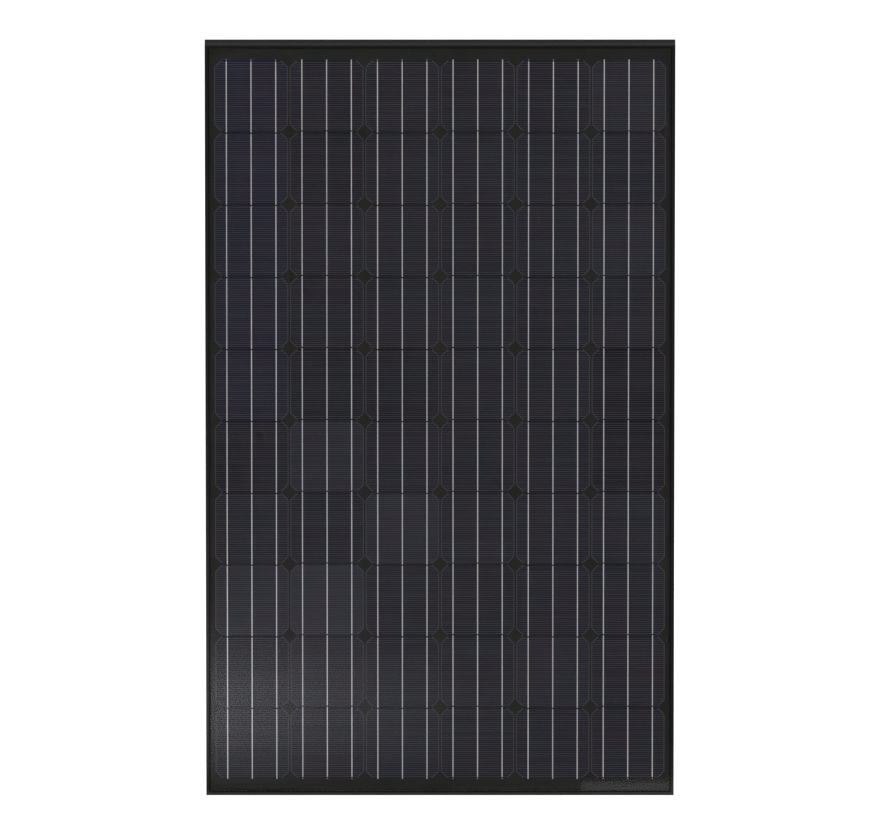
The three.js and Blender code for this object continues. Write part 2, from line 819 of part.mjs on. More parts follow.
cableGland(-glandOffset, 'left');
cableGland(glandOffset, 'right');

function ratingLabel() {
  const top = panelHeight - labelFromTop;
  const film = block(labelOffset, labelOffset + labelWidth, backsheetRear, backsheetRear + labelThickness,
    top - labelHeight, top);
  add('rating_label', film, labelFilm);
}

ratingLabel();

export default panel;
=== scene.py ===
import math
import random

import bmesh
import bpy
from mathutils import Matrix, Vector


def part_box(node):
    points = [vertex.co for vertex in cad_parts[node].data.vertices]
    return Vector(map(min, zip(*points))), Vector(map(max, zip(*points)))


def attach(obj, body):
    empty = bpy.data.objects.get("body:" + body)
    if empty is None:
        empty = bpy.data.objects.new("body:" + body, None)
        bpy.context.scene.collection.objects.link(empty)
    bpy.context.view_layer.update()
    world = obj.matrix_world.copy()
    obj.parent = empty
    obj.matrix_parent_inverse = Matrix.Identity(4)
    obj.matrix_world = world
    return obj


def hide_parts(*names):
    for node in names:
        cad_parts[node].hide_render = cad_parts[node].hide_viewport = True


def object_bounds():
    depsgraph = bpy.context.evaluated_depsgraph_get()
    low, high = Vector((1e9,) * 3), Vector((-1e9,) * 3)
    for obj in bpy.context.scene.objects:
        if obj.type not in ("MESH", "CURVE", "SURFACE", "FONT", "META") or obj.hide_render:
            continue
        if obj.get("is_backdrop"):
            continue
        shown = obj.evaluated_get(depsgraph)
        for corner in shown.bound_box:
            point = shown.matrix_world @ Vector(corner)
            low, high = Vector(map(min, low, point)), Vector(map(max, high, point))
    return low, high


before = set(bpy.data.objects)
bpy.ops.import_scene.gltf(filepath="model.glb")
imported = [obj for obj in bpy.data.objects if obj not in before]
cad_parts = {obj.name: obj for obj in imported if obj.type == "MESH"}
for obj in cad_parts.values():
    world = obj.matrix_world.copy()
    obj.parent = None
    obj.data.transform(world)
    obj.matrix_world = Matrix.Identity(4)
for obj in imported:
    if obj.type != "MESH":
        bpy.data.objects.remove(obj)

cad_low, cad_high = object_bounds()
MM = 0.001
random.seed(60)


# ---- Frame rails ----
# Four lengths of 6063 aluminium squeezed through a die: a lip, a groove for the laminate, a hollow
# chamber and a rear flange. They are punched, sawn at 45 degrees and then anodised and dyed black.

panel_width = cad_high.x - cad_low.x
panel_height = cad_high.z - cad_low.z
frame_depth = cad_high.y - cad_low.y
frame_wall = 1.8 * MM
lip_width = 6.5 * MM
lip_thickness = 1.6 * MM
groove_rear = 7.75 * MM
chamber_width = 13 * MM
chamber_rear = 22.25 * MM
chamber_wall = 1.6 * MM
flange_thickness = 1.8 * MM
mitre_gap = 0.15 * MM
outer_radius = 0.8 * MM
lip_radius = 0.5 * MM
die_radius = 0.35 * MM
slot_inset = 19 * MM
slot_width = 9 * MM
slot_length = 14 * MM
slot_spacings = [800 * MM, 1350 * MM]
earthing_hole = 5 * MM
earthing_spacing = 1080 * MM
drain_hole = 7 * MM
drain_inset = 14 * MM
drain_from_end = 60 * MM
cut_past = 1 * MM


def linear(hex_colour):
    """An sRGB hex colour as the linear colour that a shader socket takes."""
    channels = [int(hex_colour[i:i + 2], 16) / 255 for i in (1, 3, 5)]
    return [c / 12.92 if c <= 0.04045 else ((c + 0.055) / 1.055) ** 2.4 for c in channels] + [1]


def new_material(name):
    material = bpy.data.materials.new(name)
    material.use_nodes = True
    material.node_tree.nodes.clear()
    return material


def add_node(material, kind, inputs, **settings):
    """Adds a node; each input is a value, or the output of another node to link from."""
    node = material.node_tree.nodes.new(kind)
    for setting, value in settings.items():
        setattr(node, setting, value)
    for socket, value in inputs.items():
        if isinstance(value, bpy.types.NodeSocket):
            material.node_tree.links.new(value, node.inputs[socket])
        else:
            node.inputs[socket].default_value = value
    return node


def object_place(material):
    return add_node(material, "ShaderNodeTexCoord", {}).outputs["Object"]


def rounded(corners, steps=4):
    """A closed outline with each (a, b, radius) corner turned into an arc."""
    outline = []
    for i, (a, b, radius) in enumerate(corners):
        corner = Vector((a, b))
        if radius == 0:
            outline.append((a, b))
            continue
        before = (Vector(corners[i - 1][:2]) - corner).normalized()
        after = (Vector(corners[(i + 1) % len(corners)][:2]) - corner).normalized()
        half = before.angle(after) / 2
        centre = corner + (before + after).normalized() * radius / math.sin(half)
        start = (corner + before * radius / math.tan(half) - centre).normalized()
        end = (corner + after * radius / math.tan(half) - centre).normalized()
        for step in range(steps + 1):
            outline.append(tuple(centre + start.slerp(end, step / steps) * radius))
    return outline


def loft(rings, closed=False):
    """Vertices and faces of a skin through rings of points, capped at both ends unless closed."""
    count = len(rings[0])
    vertices = [point for ring in rings for point in ring]
    faces = []
    for level in range(len(rings) if closed else len(rings) - 1):
        this, following = level * count, (level + 1) % len(rings) * count
        for i in range(count):
            j = (i + 1) % count
            faces.append((this + i, this + j, following + j, following + i))
    if not closed:
        last = (len(rings) - 1) * count
        faces.append(tuple(reversed(range(count))))
        faces.append(tuple(range(last, last + count)))
    return vertices, faces


def make_piece(name, skins, materials=(), finishes=None):
    """One mesh object from closed skins; finishes gives each skin's place in materials."""
    vertices, faces, indices = [], [], []
    for k, (points, polygons) in enumerate(skins):
        start = len(vertices)
        vertices.extend(points)
        faces.extend(tuple(start + i for i in polygon) for polygon in polygons)
        indices.extend([finishes[k] if finishes else 0] * len(polygons))
    mesh = bpy.data.meshes.new(name)
    mesh.from_pydata(vertices, [], faces)
    for material in materials:
        mesh.materials.append(material)
    mesh.polygons.foreach_set("material_index", indices)
    piece = bpy.data.objects.new(name, mesh)
    bpy.context.scene.collection.objects.link(piece)
    face_outwards(piece)
    return piece


def face_outwards(piece):
    shape = bmesh.new()
    shape.from_mesh(piece.data)
    bmesh.ops.recalc_face_normals(shape, faces=shape.faces)
    shape.to_mesh(piece.data)
    shape.free()


def settle(piece):
    """Gives the piece the mesh that its modifiers make."""
    evaluated = piece.evaluated_get(bpy.context.evaluated_depsgraph_get())
    settled = bpy.data.meshes.new_from_object(evaluated)
    piece.modifiers.clear()
    piece.data = settled


def combine(piece, skins, operation):
    """Cuts a solid made of skins out of the piece (DIFFERENCE) or welds it on (UNION)."""
    tool = make_piece("tool", skins)
    boolean = piece.modifiers.new(operation, "BOOLEAN")
    boolean.operation = operation
    boolean.solver = "EXACT"
    boolean.object = tool
    settle(piece)
    bpy.data.objects.remove(tool)


def smooth(piece, angle=30):
    """Smooth shading, kept crisp across edges sharper than the angle in degrees."""
    piece.data.polygons.foreach_set("use_smooth", [True] * len(piece.data.polygons))
    piece.data.set_sharp_from_angle(angle=math.radians(angle))


def fit(piece, body, slot, *nodes):
    """The piece moves with a CAD body and stands for CAD nodes, which it hides. The slot is not
    used.
    """
    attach(piece, body)
    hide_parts(*nodes)


def noise(material, size, **inputs):
    """Noise of one real size, from 0 to 1, that stays with the object."""
    inputs = {"Vector": object_place(material), "Scale": 1 / size, **inputs}
    return add_node(material, "ShaderNodeTexNoise", inputs).outputs["Fac"]


def between(material, factor, low, high):
    """A factor from 0 to 1, made to run from low to high."""
    inputs = {"Value": factor, "To Min": low, "To Max": high}
    return add_node(material, "ShaderNodeMapRange", inputs).outputs["Result"]


def blend(material, factor, first, last):
    """A colour that goes from one hex colour to another as a factor goes from 0 to 1."""
    inputs = {0: factor, 6: linear(first), 7: linear(last)}
    return add_node(material, "ShaderNodeMix", inputs, data_type="RGBA").outputs[2]


def bump(material, height, distance, strength):
    inputs = {"Height": height, "Distance": distance, "Strength": strength}
    return add_node(material, "ShaderNodeBump", inputs).outputs["Normal"]


def surface(material, colour, roughness, **inputs):
    """Ends a material in one surface, with any further inputs that the shader takes."""
    inputs = {"Base Color": colour, "Roughness": roughness, **inputs}
    shader = add_node(material, "ShaderNodeBsdfPrincipled", inputs)
    add_node(material, "ShaderNodeOutputMaterial", {"Surface": shader.outputs["BSDF"]})


def anodised_aluminium(name, grain):
    """Black anodised aluminium: a dark satin metal whose die lines run along the rail."""
    material = new_material(name)
    # Real die lines are 0.1 to 0.3 mm apart; they are drawn 1.5 mm apart so that they show.
    drawn_out = add_node(material, "ShaderNodeMapping",
                         {"Vector": object_place(material), "Scale": grain})
    lines = noise(material, 1.5 * MM, Vector=drawn_out.outputs["Vector"], Detail=3.0)
    # Dye takes a little unevenly, in clouds some 60 mm wide.
    clouds = noise(material, 60 * MM)
    surface(material, blend(material, clouds, "#2a2a2b", "#303031"),
            between(material, lines, 0.34, 0.5), Metallic=0.85,
            Normal=bump(material, lines, 0.01 * MM, 0.35))
    return material


anodised_upright = anodised_aluminium("black anodised aluminium, drawn upright", (1, 1, 0.004))
anodised_level = anodised_aluminium("black anodised aluminium, drawn level", (0.004, 1, 1))

sides = {
    "left": {"length": panel_height, "finish": anodised_upright},
    "top": {"length": panel_width, "finish": anodised_level},
    "right": {"length": panel_height, "finish": anodised_upright},
    "bottom": {"length": panel_width, "finish": anodised_level},
}


def at_depth(depth):
    """A depth behind the frame's front face, as a Y coordinate."""
    return cad_low.y + depth


def on_side(side, inward, depth, along):
    """A point on one side of the frame: in from the outer face, back, and along the rail."""
    x, z = {"left": (cad_low.x + inward, cad_low.z + along),
            "top": (cad_low.x + along, cad_high.z - inward),
            "right": (cad_high.x - inward, cad_high.z - along),
            "bottom": (cad_high.x - along, cad_low.z + inward)}[side]
    return x, at_depth(depth), z


def side_run(side, section, mitre):
    """A section of (inward, depth) points run along a side; mitre is what its ends are cut back."""
    length = sides[side]["length"]
    near = [on_side(side, u, depth, u + mitre) for u, depth in section]
    far = [on_side(side, u, depth, length - u - mitre) for u, depth in section]
    return loft([near, far])


def punch(side, inward, along, width, length):
    """The tool for a round or slotted hole through the rear flange."""
    straight = (length - width) / 2
    outline = []
    steps = 32
    for step in range(steps):
        turn = 2 * math.pi * (step + 0.5) / steps
        shift = straight if math.sin(turn) > 0 else -straight
        outline.append((inward + width / 2 * math.cos(turn),
                        along + shift + width / 2 * math.sin(turn)))
    depths = (frame_depth - flange_thickness - cut_past, frame_depth + cut_past)
    return loft([[on_side(side, u, depth, t) for u, t in outline] for depth in depths])


def frame_rail(side, flange_width, punches):
    flange_front = frame_depth - flange_thickness
    section = rounded([
        (0, 0, outer_radius),
        (lip_width, 0, lip_radius),
        (lip_width, lip_thickness, die_radius),
        (frame_wall, lip_thickness, 0),
        (frame_wall, groove_rear, 0),
        (chamber_width, groove_rear, die_radius),
        (chamber_width, chamber_rear, die_radius),
        (frame_wall, chamber_rear, outer_radius),
        (frame_wall, flange_front, outer_radius),
        (flange_width, flange_front, die_radius),
        (flange_width, frame_depth, die_radius),
        (0, frame_depth, outer_radius),
    ])
    chamber_front = groove_rear + chamber_wall
    chamber = rounded([
        (frame_wall, chamber_front, die_radius),
        (chamber_width - chamber_wall, chamber_front, die_radius),
        (chamber_width - chamber_wall, chamber_rear - chamber_wall, die_radius),
        (frame_wall, chamber_rear - chamber_wall, die_radius),
    ])
    rail = make_piece(f"{side}_frame_rail",
                      [side_run(side, section, mitre_gap)], [sides[side]["finish"]])
    combine(rail, [side_run(side, chamber, -cut_past)] + punches, "DIFFERENCE")
    smooth(rail)
    fit(rail, "panel", "black_anodised_aluminium", f"frame_{side}")


for side in ("left", "right"):
    low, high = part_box(f"frame_{side}")
    holes = []
    for way in (-1, 1):
        for spacing in slot_spacings:
            holes.append(punch(side, slot_inset, panel_height / 2 + way * spacing / 2,
                               slot_width, slot_length))
        holes.append(punch(side, slot_inset, panel_height / 2 + way * earthing_spacing / 2,
                           earthing_hole, earthing_hole))
    frame_rail(side, high.x - low.x, holes)

for side in ("top", "bottom"):
    low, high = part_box(f"frame_{side}")
    holes = [punch(side, drain_inset, along, drain_hole, drain_hole)
             for along in (drain_from_end, panel_width - drain_from_end)]
    frame_rail(side, high.z - low.z, holes)


# ---- Corner keys ----
# L-shaped aluminium keys, sawn from bar and pressed into the rails' chambers to hold each mitre.
# They stay bare, so only a saw's fine marks break their dull silver.


def waves(material, spacing, distortion, **settings):
    """Lines of one real spacing. At a scale of 1 a wave texture's lines are 0.3 units apart."""
    inputs = {"Vector": object_place(material), "Scale": 0.3 / spacing, "Distortion": distortion}
    return add_node(material, "ShaderNodeTexWave", inputs, **settings).outputs["Fac"]


mill_aluminium = new_material("mill-finish aluminium, sawn")
# Saw marks are about 0.3 mm apart.
marks = waves(mill_aluminium, 0.3 * MM, 2.0, bands_direction="Y")
surface(mill_aluminium, linear("#c2c4c6"), between(mill_aluminium, marks, 0.35, 0.55), Metallic=1.0)


def finish_node(node, material):
    """A CAD node shown as it is, with its material."""
    cad_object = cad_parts[node]
    cad_object.data.materials.clear()
    cad_object.data.materials.append(material)


for corner in ("bottom_left", "top_left", "top_right", "bottom_right"):
    finish_node(f"corner_key_{corner}", mill_aluminium)


# ---- Edge seal ----
# Black neutral-cure silicone pumped into the groove before the laminate is pressed in. What is
# squeezed out past the lip shows as a thin dark bead with a round edge, wiped by hand. The bead
# is drawn 3 mm wide, so that its black also stands in as painted shade where the lip shadows the
# glass.

seal_outer = 1.9 * MM
seal_front = 1.7 * MM
# The bead runs 3 mm in past the lip, wider than a real squeeze-out, as painted shade for the lip's
# shadow on the glass.
seal_bead_and_shade_edge = 9.5 * MM
seal_bead_rear = 2.05 * MM
seal_web = 2.9 * MM
seal_rear_leg = 7.9 * MM
seal_rear_front = 7.3 * MM
seal_rear = 7.65 * MM
bead_radius = 0.3 * MM

silicone = new_material("black silicone sealant, darkened as painted shade")
# A wiped bead swells and thins over about 12 mm, which only just stirs its dull shine.
swell = noise(silicone, 12 * MM)
# Its near-black colour is set darker than the sealant's own, as painted shade for the crevice along
# the frame's lip.
surface(silicone, linear("#080808"), between(silicone, swell, 0.55, 0.8), IOR=1.25,
        Normal=bump(silicone, swell, 0.2 * MM, 0.4))


def add_piece(name, skins, materials, slot, node, finishes=None, angle=30):
    """A smooth piece that rides on the panel and stands for one CAD node."""
    piece = make_piece(name, skins, materials, finishes)
    smooth(piece, angle)
    fit(piece, "panel", slot, node)


for side in sides:
    section = rounded([
        (seal_outer, seal_front, 0),
        (seal_bead_and_shade_edge, seal_front, bead_radius),
        (seal_bead_and_shade_edge, seal_bead_rear, 0),
        (seal_web, seal_bead_rear, 0),
        (seal_web, seal_rear_front, 0),
        (seal_rear_leg, seal_rear_front, 0),
        (seal_rear_leg, seal_rear, 0),
        (seal_outer, seal_rear, 0),
    ])
    add_piece(f"{side}_edge_seal", [side_run(side, section, mitre_gap)], [silicone], "silicone",
              f"edge_seal_{side}")


# ---- Front glass ----
# One sheet of 3.2 mm low-iron glass, rolled with a fine stipple, coated against reflection and
# tempered. Its edges are ground, so they are matt, and sit out of sight in the groove.

glass_low, glass_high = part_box("front_glass")
bond_gap = 0.03 * MM
arris = 0.4 * MM
glass_corner = 1.5 * MM


def finish(name, size, colour, roughness, **inputs):
    """A material in which a pair of colours, or of roughnesses, follows noise of one size."""
    material = new_material(name)
    pattern = noise(material, size)
    colour = blend(material, pattern, *colour) if isinstance(colour, tuple) else linear(colour)
    if isinstance(roughness, tuple):
        roughness = between(material, pattern, *roughness)
    surface(material, colour, roughness, **inputs)
    return material


def partly_clear(material, share, shader, clear_colour):
    """Ends a material in a clear one with a share of another shader."""
    clear = add_node(material, "ShaderNodeBsdfTransparent", {"Color": linear(clear_colour)})
    mixed = add_node(material, "ShaderNodeMixShader",
                     {0: share, 1: clear.outputs["BSDF"], 2: shader.outputs["BSDF"]})
    add_node(material, "ShaderNodeOutputMaterial", {"Surface": mixed.outputs["Shader"]})


def hazy(name, size, colour, least, most):
    """A clear material with a trace of dull haze in clouds of one real size."""
    material = new_material(name)
    veil = add_node(material, "ShaderNodeBsdfPrincipled",
                    {"Base Color": linear(colour), "Roughness": 0.8, "IOR": 1.1})
    partly_clear(material, between(material, noise(material, size), least, most), veil, "#fefefe")
    return material


coated_glass = new_material("anti-reflective rolled solar glass")
# Rain leaves a very thin film that dries in patches some 300 mm wide. The rolled stipple, about
# 0.8 mm across, is drawn 5 mm across; it gives a soft sheen instead of a mirror's image.
spread = add_node(coated_glass, "ShaderNodeMath",
                  {0: noise(coated_glass, 300 * MM), 1: noise(coated_glass, 5 * MM)},
                  operation="ADD").outputs["Value"]
roughness = add_node(coated_glass, "ShaderNodeMapRange",
                     {"Value": spread, "From Max": 2.0, "To Min": 0.12, "To Max": 0.2})
sheen = add_node(coated_glass, "ShaderNodeBsdfPrincipled",
                 {"Base Color": linear("#f4f5fa"), "Metallic": 1.0,
                  "Roughness": roughness.outputs["Result"]})
# The coating brings the glass's reflection down to 2%, which an index of 1.35 gives.
reflected = add_node(coated_glass, "ShaderNodeFresnel", {"IOR": 1.35})
partly_clear(coated_glass, reflected.outputs["Fac"], sheen, "#fdfefd")

# A bonded face has no shine; only a trace of haze, in clouds 40 mm wide, tells that it is there.
bonded_glass = hazy("glass bonded to its encapsulant", 40 * MM, "#0e100e", 0.0005, 0.0015)

# The grinding wheel leaves scratches about 0.4 mm apart in a pale green-white edge.
ground_edge = finish("ground glass edge", 0.4 * MM, ("#9fb0a8", "#c4d0ca"), 0.7)


def rectangle(x0, x1, z0, z1, radius, steps=4):
    corners = [(x0, z0, radius), (x1, z0, radius), (x1, z1, radius), (x0, z1, radius)]
    return rounded(corners, steps)


def inset_ring(low, high, y, inset, radius):
    """A rectangle between two corners in X and Z, drawn in and rounded, at one Y."""
    return [(x, y, z) for x, z in rectangle(low.x + inset, high.x - inset, low.z + inset,
                                            high.z - inset, radius)]


def plate(low, high, rear, edge, radius):
    """A flat plate with rounded corners and broken edges, from low.y to its rear."""
    levels = ((low.y, edge), (low.y + edge, 0), (rear - edge, 0), (rear, edge))
    return loft([inset_ring(low, high, y, inset, radius) for y, inset in levels])


glass = make_piece("front_glass_pane",
                   [plate(glass_low, glass_high, glass_high.y - bond_gap, arris, glass_corner)],
                   [ground_edge, coated_glass, bonded_glass])
facing = 0.99
for face in glass.data.polygons:
    if face.normal.y < -facing:
        face.material_index = 1
    elif face.normal.y > facing:
        face.material_index = 2
fit(glass, "panel", "solar_glass", "front_glass")


# ---- Front encapsulant ----
# A 0.45 mm sheet of clear EVA melted between the glass and the cells. It is as clear as the glass,
# with the same trace of haze.

encapsulant_low, encapsulant_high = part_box("front_encapsulant")

# Flow during curing leaves faint streaks about 90 mm wide.
clear_eva = hazy("clear EVA, cured", 90 * MM, "#0f0f11", 0.0002, 0.0012)

eva_rings = [inset_ring(encapsulant_low, encapsulant_high, y, arris, glass_corner)
             for y in (encapsulant_low.y + bond_gap, encapsulant_high.y - bond_gap)]
front_eva = make_piece("front_encapsulant_sheet", [loft(eva_rings)], [clear_eva])
fit(front_eva, "panel", "encapsulant", "front_encapsulant")


# ---- Cell strings ----
# Pseudo-square monocrystalline wafers, black-blue from their nitride coating, with silver fingers
# printed across them. Three tinned copper ribbons pass from the front of each cell to the back of
# the next and are soldered there.

cell_size = 156 * MM
cell_corner_trim = 10.3 * MM
row_gap = 2 * MM
row_count = 10
string_numbers = (1, 2, 3, 4, 5, 6)
wafer_front = 6.0 * MM
wafer_rear = 6.2 * MM
finger_pitch = 4.6 * MM
finger_widths = (0.9 * MM, 1.6 * MM)
finger_thickness = 0.02 * MM
finger_margin = 1.2 * MM
edge_line_width = 2.0 * MM
edge_line_inset = 1.3 * MM
busbar_offsets = (-52 * MM, 0, 52 * MM)
ribbon_width = 2 * MM
ribbon_thickness = 0.16 * MM
ribbon_round = 0.08 * MM
front_ribbon_depth = 5.9 * MM
rear_ribbon_depth = 6.3 * MM
tail_depth = 6.1 * MM
ribbon_setback = 3 * MM
tail_drop = 1 * MM
dive_steps = 6
field_bottom = (panel_height - row_count * cell_size - (row_count - 1) * row_gap) / 2
field_height = panel_height - 2 * field_bottom
first_bus_reach = 11 * MM
second_bus_reach = 20 * MM
ingot_radius = cell_size / math.sqrt(2) - cell_corner_trim
arc_points = 9
wafer_colour = linear("#2e2d33")
tone_spread = (0.93, 1.07)
usual_blueness = 1.08
blueness_spread = (-0.04, 0.04)
# The upper cells of the first string are from a bluer batch.
blue_batch = 1.45
blue_batch_rows = 5
# Cells whose tone stands out, as (string, row from the top): how much paler, or darker below 1.
cell_tones = {(6, 1): 1.3, (3, 7): 1.5, (2, 6): 1.4, (1, 8): 1.5, (2, 8): 1.7, (6, 5): 0.6,
              (6, 6): 0.65, (2, 9): 1.2, (4, 7): 1.15, (1, 6): 0.8, (2, 2): 0.8, (5, 9): 1.3,
              (6, 3): 1.3, (2, 5): 0.8, (3, 5): 0.8}

nitride = new_material("nitride-coated monocrystalline silicon")
# Each wafer's own tone is stored with it. Where its coating is a few nanometres thinner, in areas
# some 60 mm wide, it turns from violet to a colder blue.
tone = add_node(nitride, "ShaderNodeAttribute", {}, attribute_name="wafer_tone")
thickness = add_node(nitride, "ShaderNodeMapRange",
                     {"Value": noise(nitride, 60 * MM), "From Min": 0.35, "From Max": 0.65})
hue = add_node(nitride, "ShaderNodeMix",
               {0: thickness.outputs["Result"], 6: (1.2, 0.95, 1.0, 1), 7: (0.82, 1.07, 1.06, 1)},
               data_type="RGBA")
colour = add_node(nitride, "ShaderNodeVectorMath",
                  {0: tone.outputs["Color"], 1: hue.outputs[2]}, operation="MULTIPLY")
# Held in encapsulant of nearly its coating's own index, the wafer has almost no shine of its own.
surface(nitride, colour.outputs["Vector"], 0.5, IOR=1.12)

# Fired paste is grainy, at about 0.05 mm; the grain is drawn 0.5 mm wide. Real fingers are 0.08 mm
# wide and 2.2 mm apart; here every second one is left out and the rest are drawn wider and darker.
silver_paste = finish("fired silver paste", 0.5 * MM, ("#524f59", "#5e5a65"), 0.7, IOR=1.12)

# The tin coat pools in soft patches some 8 mm long where it was reheated, and is so matt from
# the encapsulant bonded to it that it scatters light like pale paint.
solder_coated_ribbon = finish("solder-coated copper ribbon", 8 * MM, ("#f1f0f2", "#fafafa"),
                              (0.6, 0.8), Metallic=0.3)


def wafer_outline(x, z, inset):
    """A square cut by the round ingot, drawn in all round: an arc of points for each corner."""
    half = cell_size / 2 - inset
    radius = ingot_radius - inset
    first = math.acos(half / radius)
    last = math.asin(half / radius)
    outline = []
    for quarter in range(4):
        for step in range(arc_points):
            turn = quarter * math.pi / 2 + first + (last - first) * step / (arc_points - 1)
            outline.append((x + radius * math.cos(turn), z + radius * math.sin(turn)))
    return outline


def wafer(x, z):
    return loft([[(a, at_depth(depth), b) for a, b in wafer_outline(x, z, 0)]
                 for depth in (wafer_front, wafer_rear)])


def both_edges(line, width):
    """The two edges of a band of a given width along a line of points."""
    pairs = []
    for i, point in enumerate(line):
        along = Vector(line[min(i + 1, len(line) - 1)]) - Vector(line[max(i - 1, 0)])
        aside = Vector((-along.y, along.x)).normalized() * width / 2
        pairs.append((Vector(point) + aside, Vector(point) - aside))
    return pairs


def strip(line, width, front, rear):
    """A flat strip of a given width along a line of (x, z) points, between two depths."""
    return loft([[(edge.x, at_depth(depth), edge.y) for edge, depth in
                  ((left, front), (right, front), (right, rear), (left, rear))]
                 for left, right in both_edges(line, width)])


def printed_fingers(x, z):
    """Fingers as long as the wafer is wide at their height, and a line near each side edge."""
    front = wafer_front - finger_thickness
    rear = wafer_front + finger_thickness / 2
    half = cell_size / 2
    skins = []
    for k in range(round((cell_size - 2 * finger_margin) / finger_pitch)):
        height = -half + finger_margin + (k + 0.5) * finger_pitch
        reach = min(half, math.sqrt(ingot_radius ** 2 - height ** 2)) - edge_line_inset
        skins.append(strip([(x - reach, z + height), (x + reach, z + height)],
                           random.uniform(*finger_widths), front, rear))
    outline = wafer_outline(x, z, edge_line_inset)
    right_line = outline[3 * arc_points:] + outline[:arc_points]
    left_line = outline[arc_points:3 * arc_points]
    for line in (right_line, left_line):
        skins.append(strip(line, edge_line_width, front, rear))
    return skins


def middle_x(node):
    low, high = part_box(node)
    return (low.x + high.x) / 2


def ribbon(x, line):
    """A ribbon with rounded edges, centred on a line of (z, depth) points."""
    half, thick, r = ribbon_width / 2, ribbon_thickness / 2, ribbon_round
    edge = [(-half, -thick / 2), (-half + r, -thick), (half - r, -thick), (half, -thick / 2),
            (half, thick / 2), (half - r, thick), (-half + r, thick), (-half, thick / 2)]
    return loft([[(x + a, at_depth(depth + b), z) for a, b in edge] for z, depth in line])


def dive(start, end, level, next_level):
    """Points of a smooth step from one depth to another between two distances along a string."""
    points = []
    for step in range(dive_steps + 1):
        share = step / dive_steps
        eased = share * share * (3 - 2 * share)
        points.append((start + (end - start) * share, level + (next_level - level) * eased))
    return points


def ribbon_line(index, start_reach, end_reach):
    """One ribbon's line as (distance along the string, depth): front of a cell, back of the next."""
    begin = index * (cell_size + row_gap)
    if index == 0:
        line = [(-start_reach, tail_depth)]
        line += dive(-tail_drop, 0, tail_depth, rear_ribbon_depth)
    else:
        line = [(begin - row_gap - cell_size + ribbon_setback, front_ribbon_depth)]
        last = index == row_count
        line += dive(begin - row_gap, begin - row_gap + tail_drop if last else begin,
                     front_ribbon_depth, tail_depth if last else rear_ribbon_depth)
    if index < row_count:
        line.append((begin + cell_size - ribbon_setback, rear_ribbon_depth))
    else:
        line.append((field_height + end_reach, tail_depth))
    return line


for number in string_numbers:
    x = middle_x(f"cell_string_{number}")
    downwards = number % 2 == 1
    outermost = number in (string_numbers[0], string_numbers[-1])
    top_reach = second_bus_reach if outermost else first_bus_reach
    reaches = (top_reach, first_bus_reach) if downwards else (first_bus_reach, top_reach)
    skins, finishes, tones = [], [], []
    for row in range(row_count):
        z = field_bottom + field_height - row * (cell_size + row_gap) - cell_size / 2
        skins.append(wafer(x, z))
        finishes.append(0)
        paler = cell_tones.get((number, row + 1), 1) * random.uniform(*tone_spread)
        blueness = blue_batch if number == 1 and row < blue_batch_rows else usual_blueness
        blueness += random.uniform(*blueness_spread)
        red, green, blue, opaque = wafer_colour
        tones.append((red * paler, green * paler, blue * paler * blueness, opaque))
        fingers = printed_fingers(x, z)
        skins += fingers
        finishes += [1] * len(fingers)
    for offset in busbar_offsets:
        for index in range(row_count + 1):
            line = [(field_bottom + (field_height - along if downwards else along), depth)
                    for along, depth in ribbon_line(index, *reaches)]
            skins.append(ribbon(x + offset, line))
            finishes.append(2)
    string = make_piece(f"cell_string_{number}_soldered", skins,
                        [nitride, silver_paste, solder_coated_ribbon], finishes)
    wafer_tone = string.data.attributes.new("wafer_tone", "FLOAT_COLOR", "FACE")
    for face in string.data.polygons:
        row = int((field_bottom + field_height - face.center.z) / (cell_size + row_gap))
        wafer_tone.data[face.index].color = tones[min(max(row, 0), row_count - 1)]
    fit(string, "panel", "silicon_cell", f"cell_string_{number}")


# ---- Bus ribbons ----
# Wider tinned copper strips soldered across the ends of the strings. Their faces are lacquered
# black, so that they don't glint past the masks.

# Roller-coated lacquer keeps faint ripples about 3 mm long.
black_lacquer = finish("black-lacquered copper ribbon", 3 * MM, "#19191b", (0.4, 0.55), IOR=1.12)

for number in (1, 2, 3):
    finish_node(f"bottom_bus_{number}", black_lacquer)
for number in (1, 2, 3, 4):
    finish_node(f"top_bus_{number}", black_lacquer)


# ---- Bus masks and lead-out insulation ----
# Strips cut from black polyester film. Two hide the bus ribbons from the front, and a third keeps
# the lead-out ribbons off the backs of the cells.

# Winding the film leaves soft bands about 25 mm wide.
black_polyester = finish("black polyester film, matt", 25 * MM, ("#333331", "#373735"), 0.6,
                         IOR=1.12)

for node in ("bus_mask_top", "bus_mask_bottom", "lead_insulation"):
    finish_node(node, black_polyester)


# ---- Rear encapsulant ----
# EVA pigmented black, which is what shows between the cells and round them. It flowed round the
# wafers in the laminator, so it has no seams.

# The pigment settles into soft clouds about 30 mm wide.
black_eva = finish("black-pigmented EVA, cured", 30 * MM, ("#333330", "#363633"), 0.6, IOR=1.12)

finish_node("rear_encapsulant", black_eva)


# ---- Lead-out ribbons ----
# Four tinned copper ribbons, folded down from the top bus behind the cells, out through slits in
# the backsheet and over their terminals, where each end is soldered flat.

lead_width = 5 * MM
lead_thickness = 0.18 * MM
lead_behind_bus = 6.5 * MM
lead_behind_cells = 6.7 * MM
lead_over_terminal = 17.06 * MM
lead_lap = 8 * MM
lead_fold = 0.5 * MM
slit_height = 1562 * MM
bus_width = 6 * MM
solder_reach = (3.2 * MM, 2.6 * MM)
solder_crown = 0.5 * MM
mound_steps = 5
small_segments = 24
lead_numbers = (1, 2, 3, 4)

# Plated tin dulls in soft patches about 6 mm wide.
tinned_copper = finish("tinned copper", 6 * MM, ("#c9c6bf", "#dad8d2"), (0.22, 0.42), Metallic=1.0)

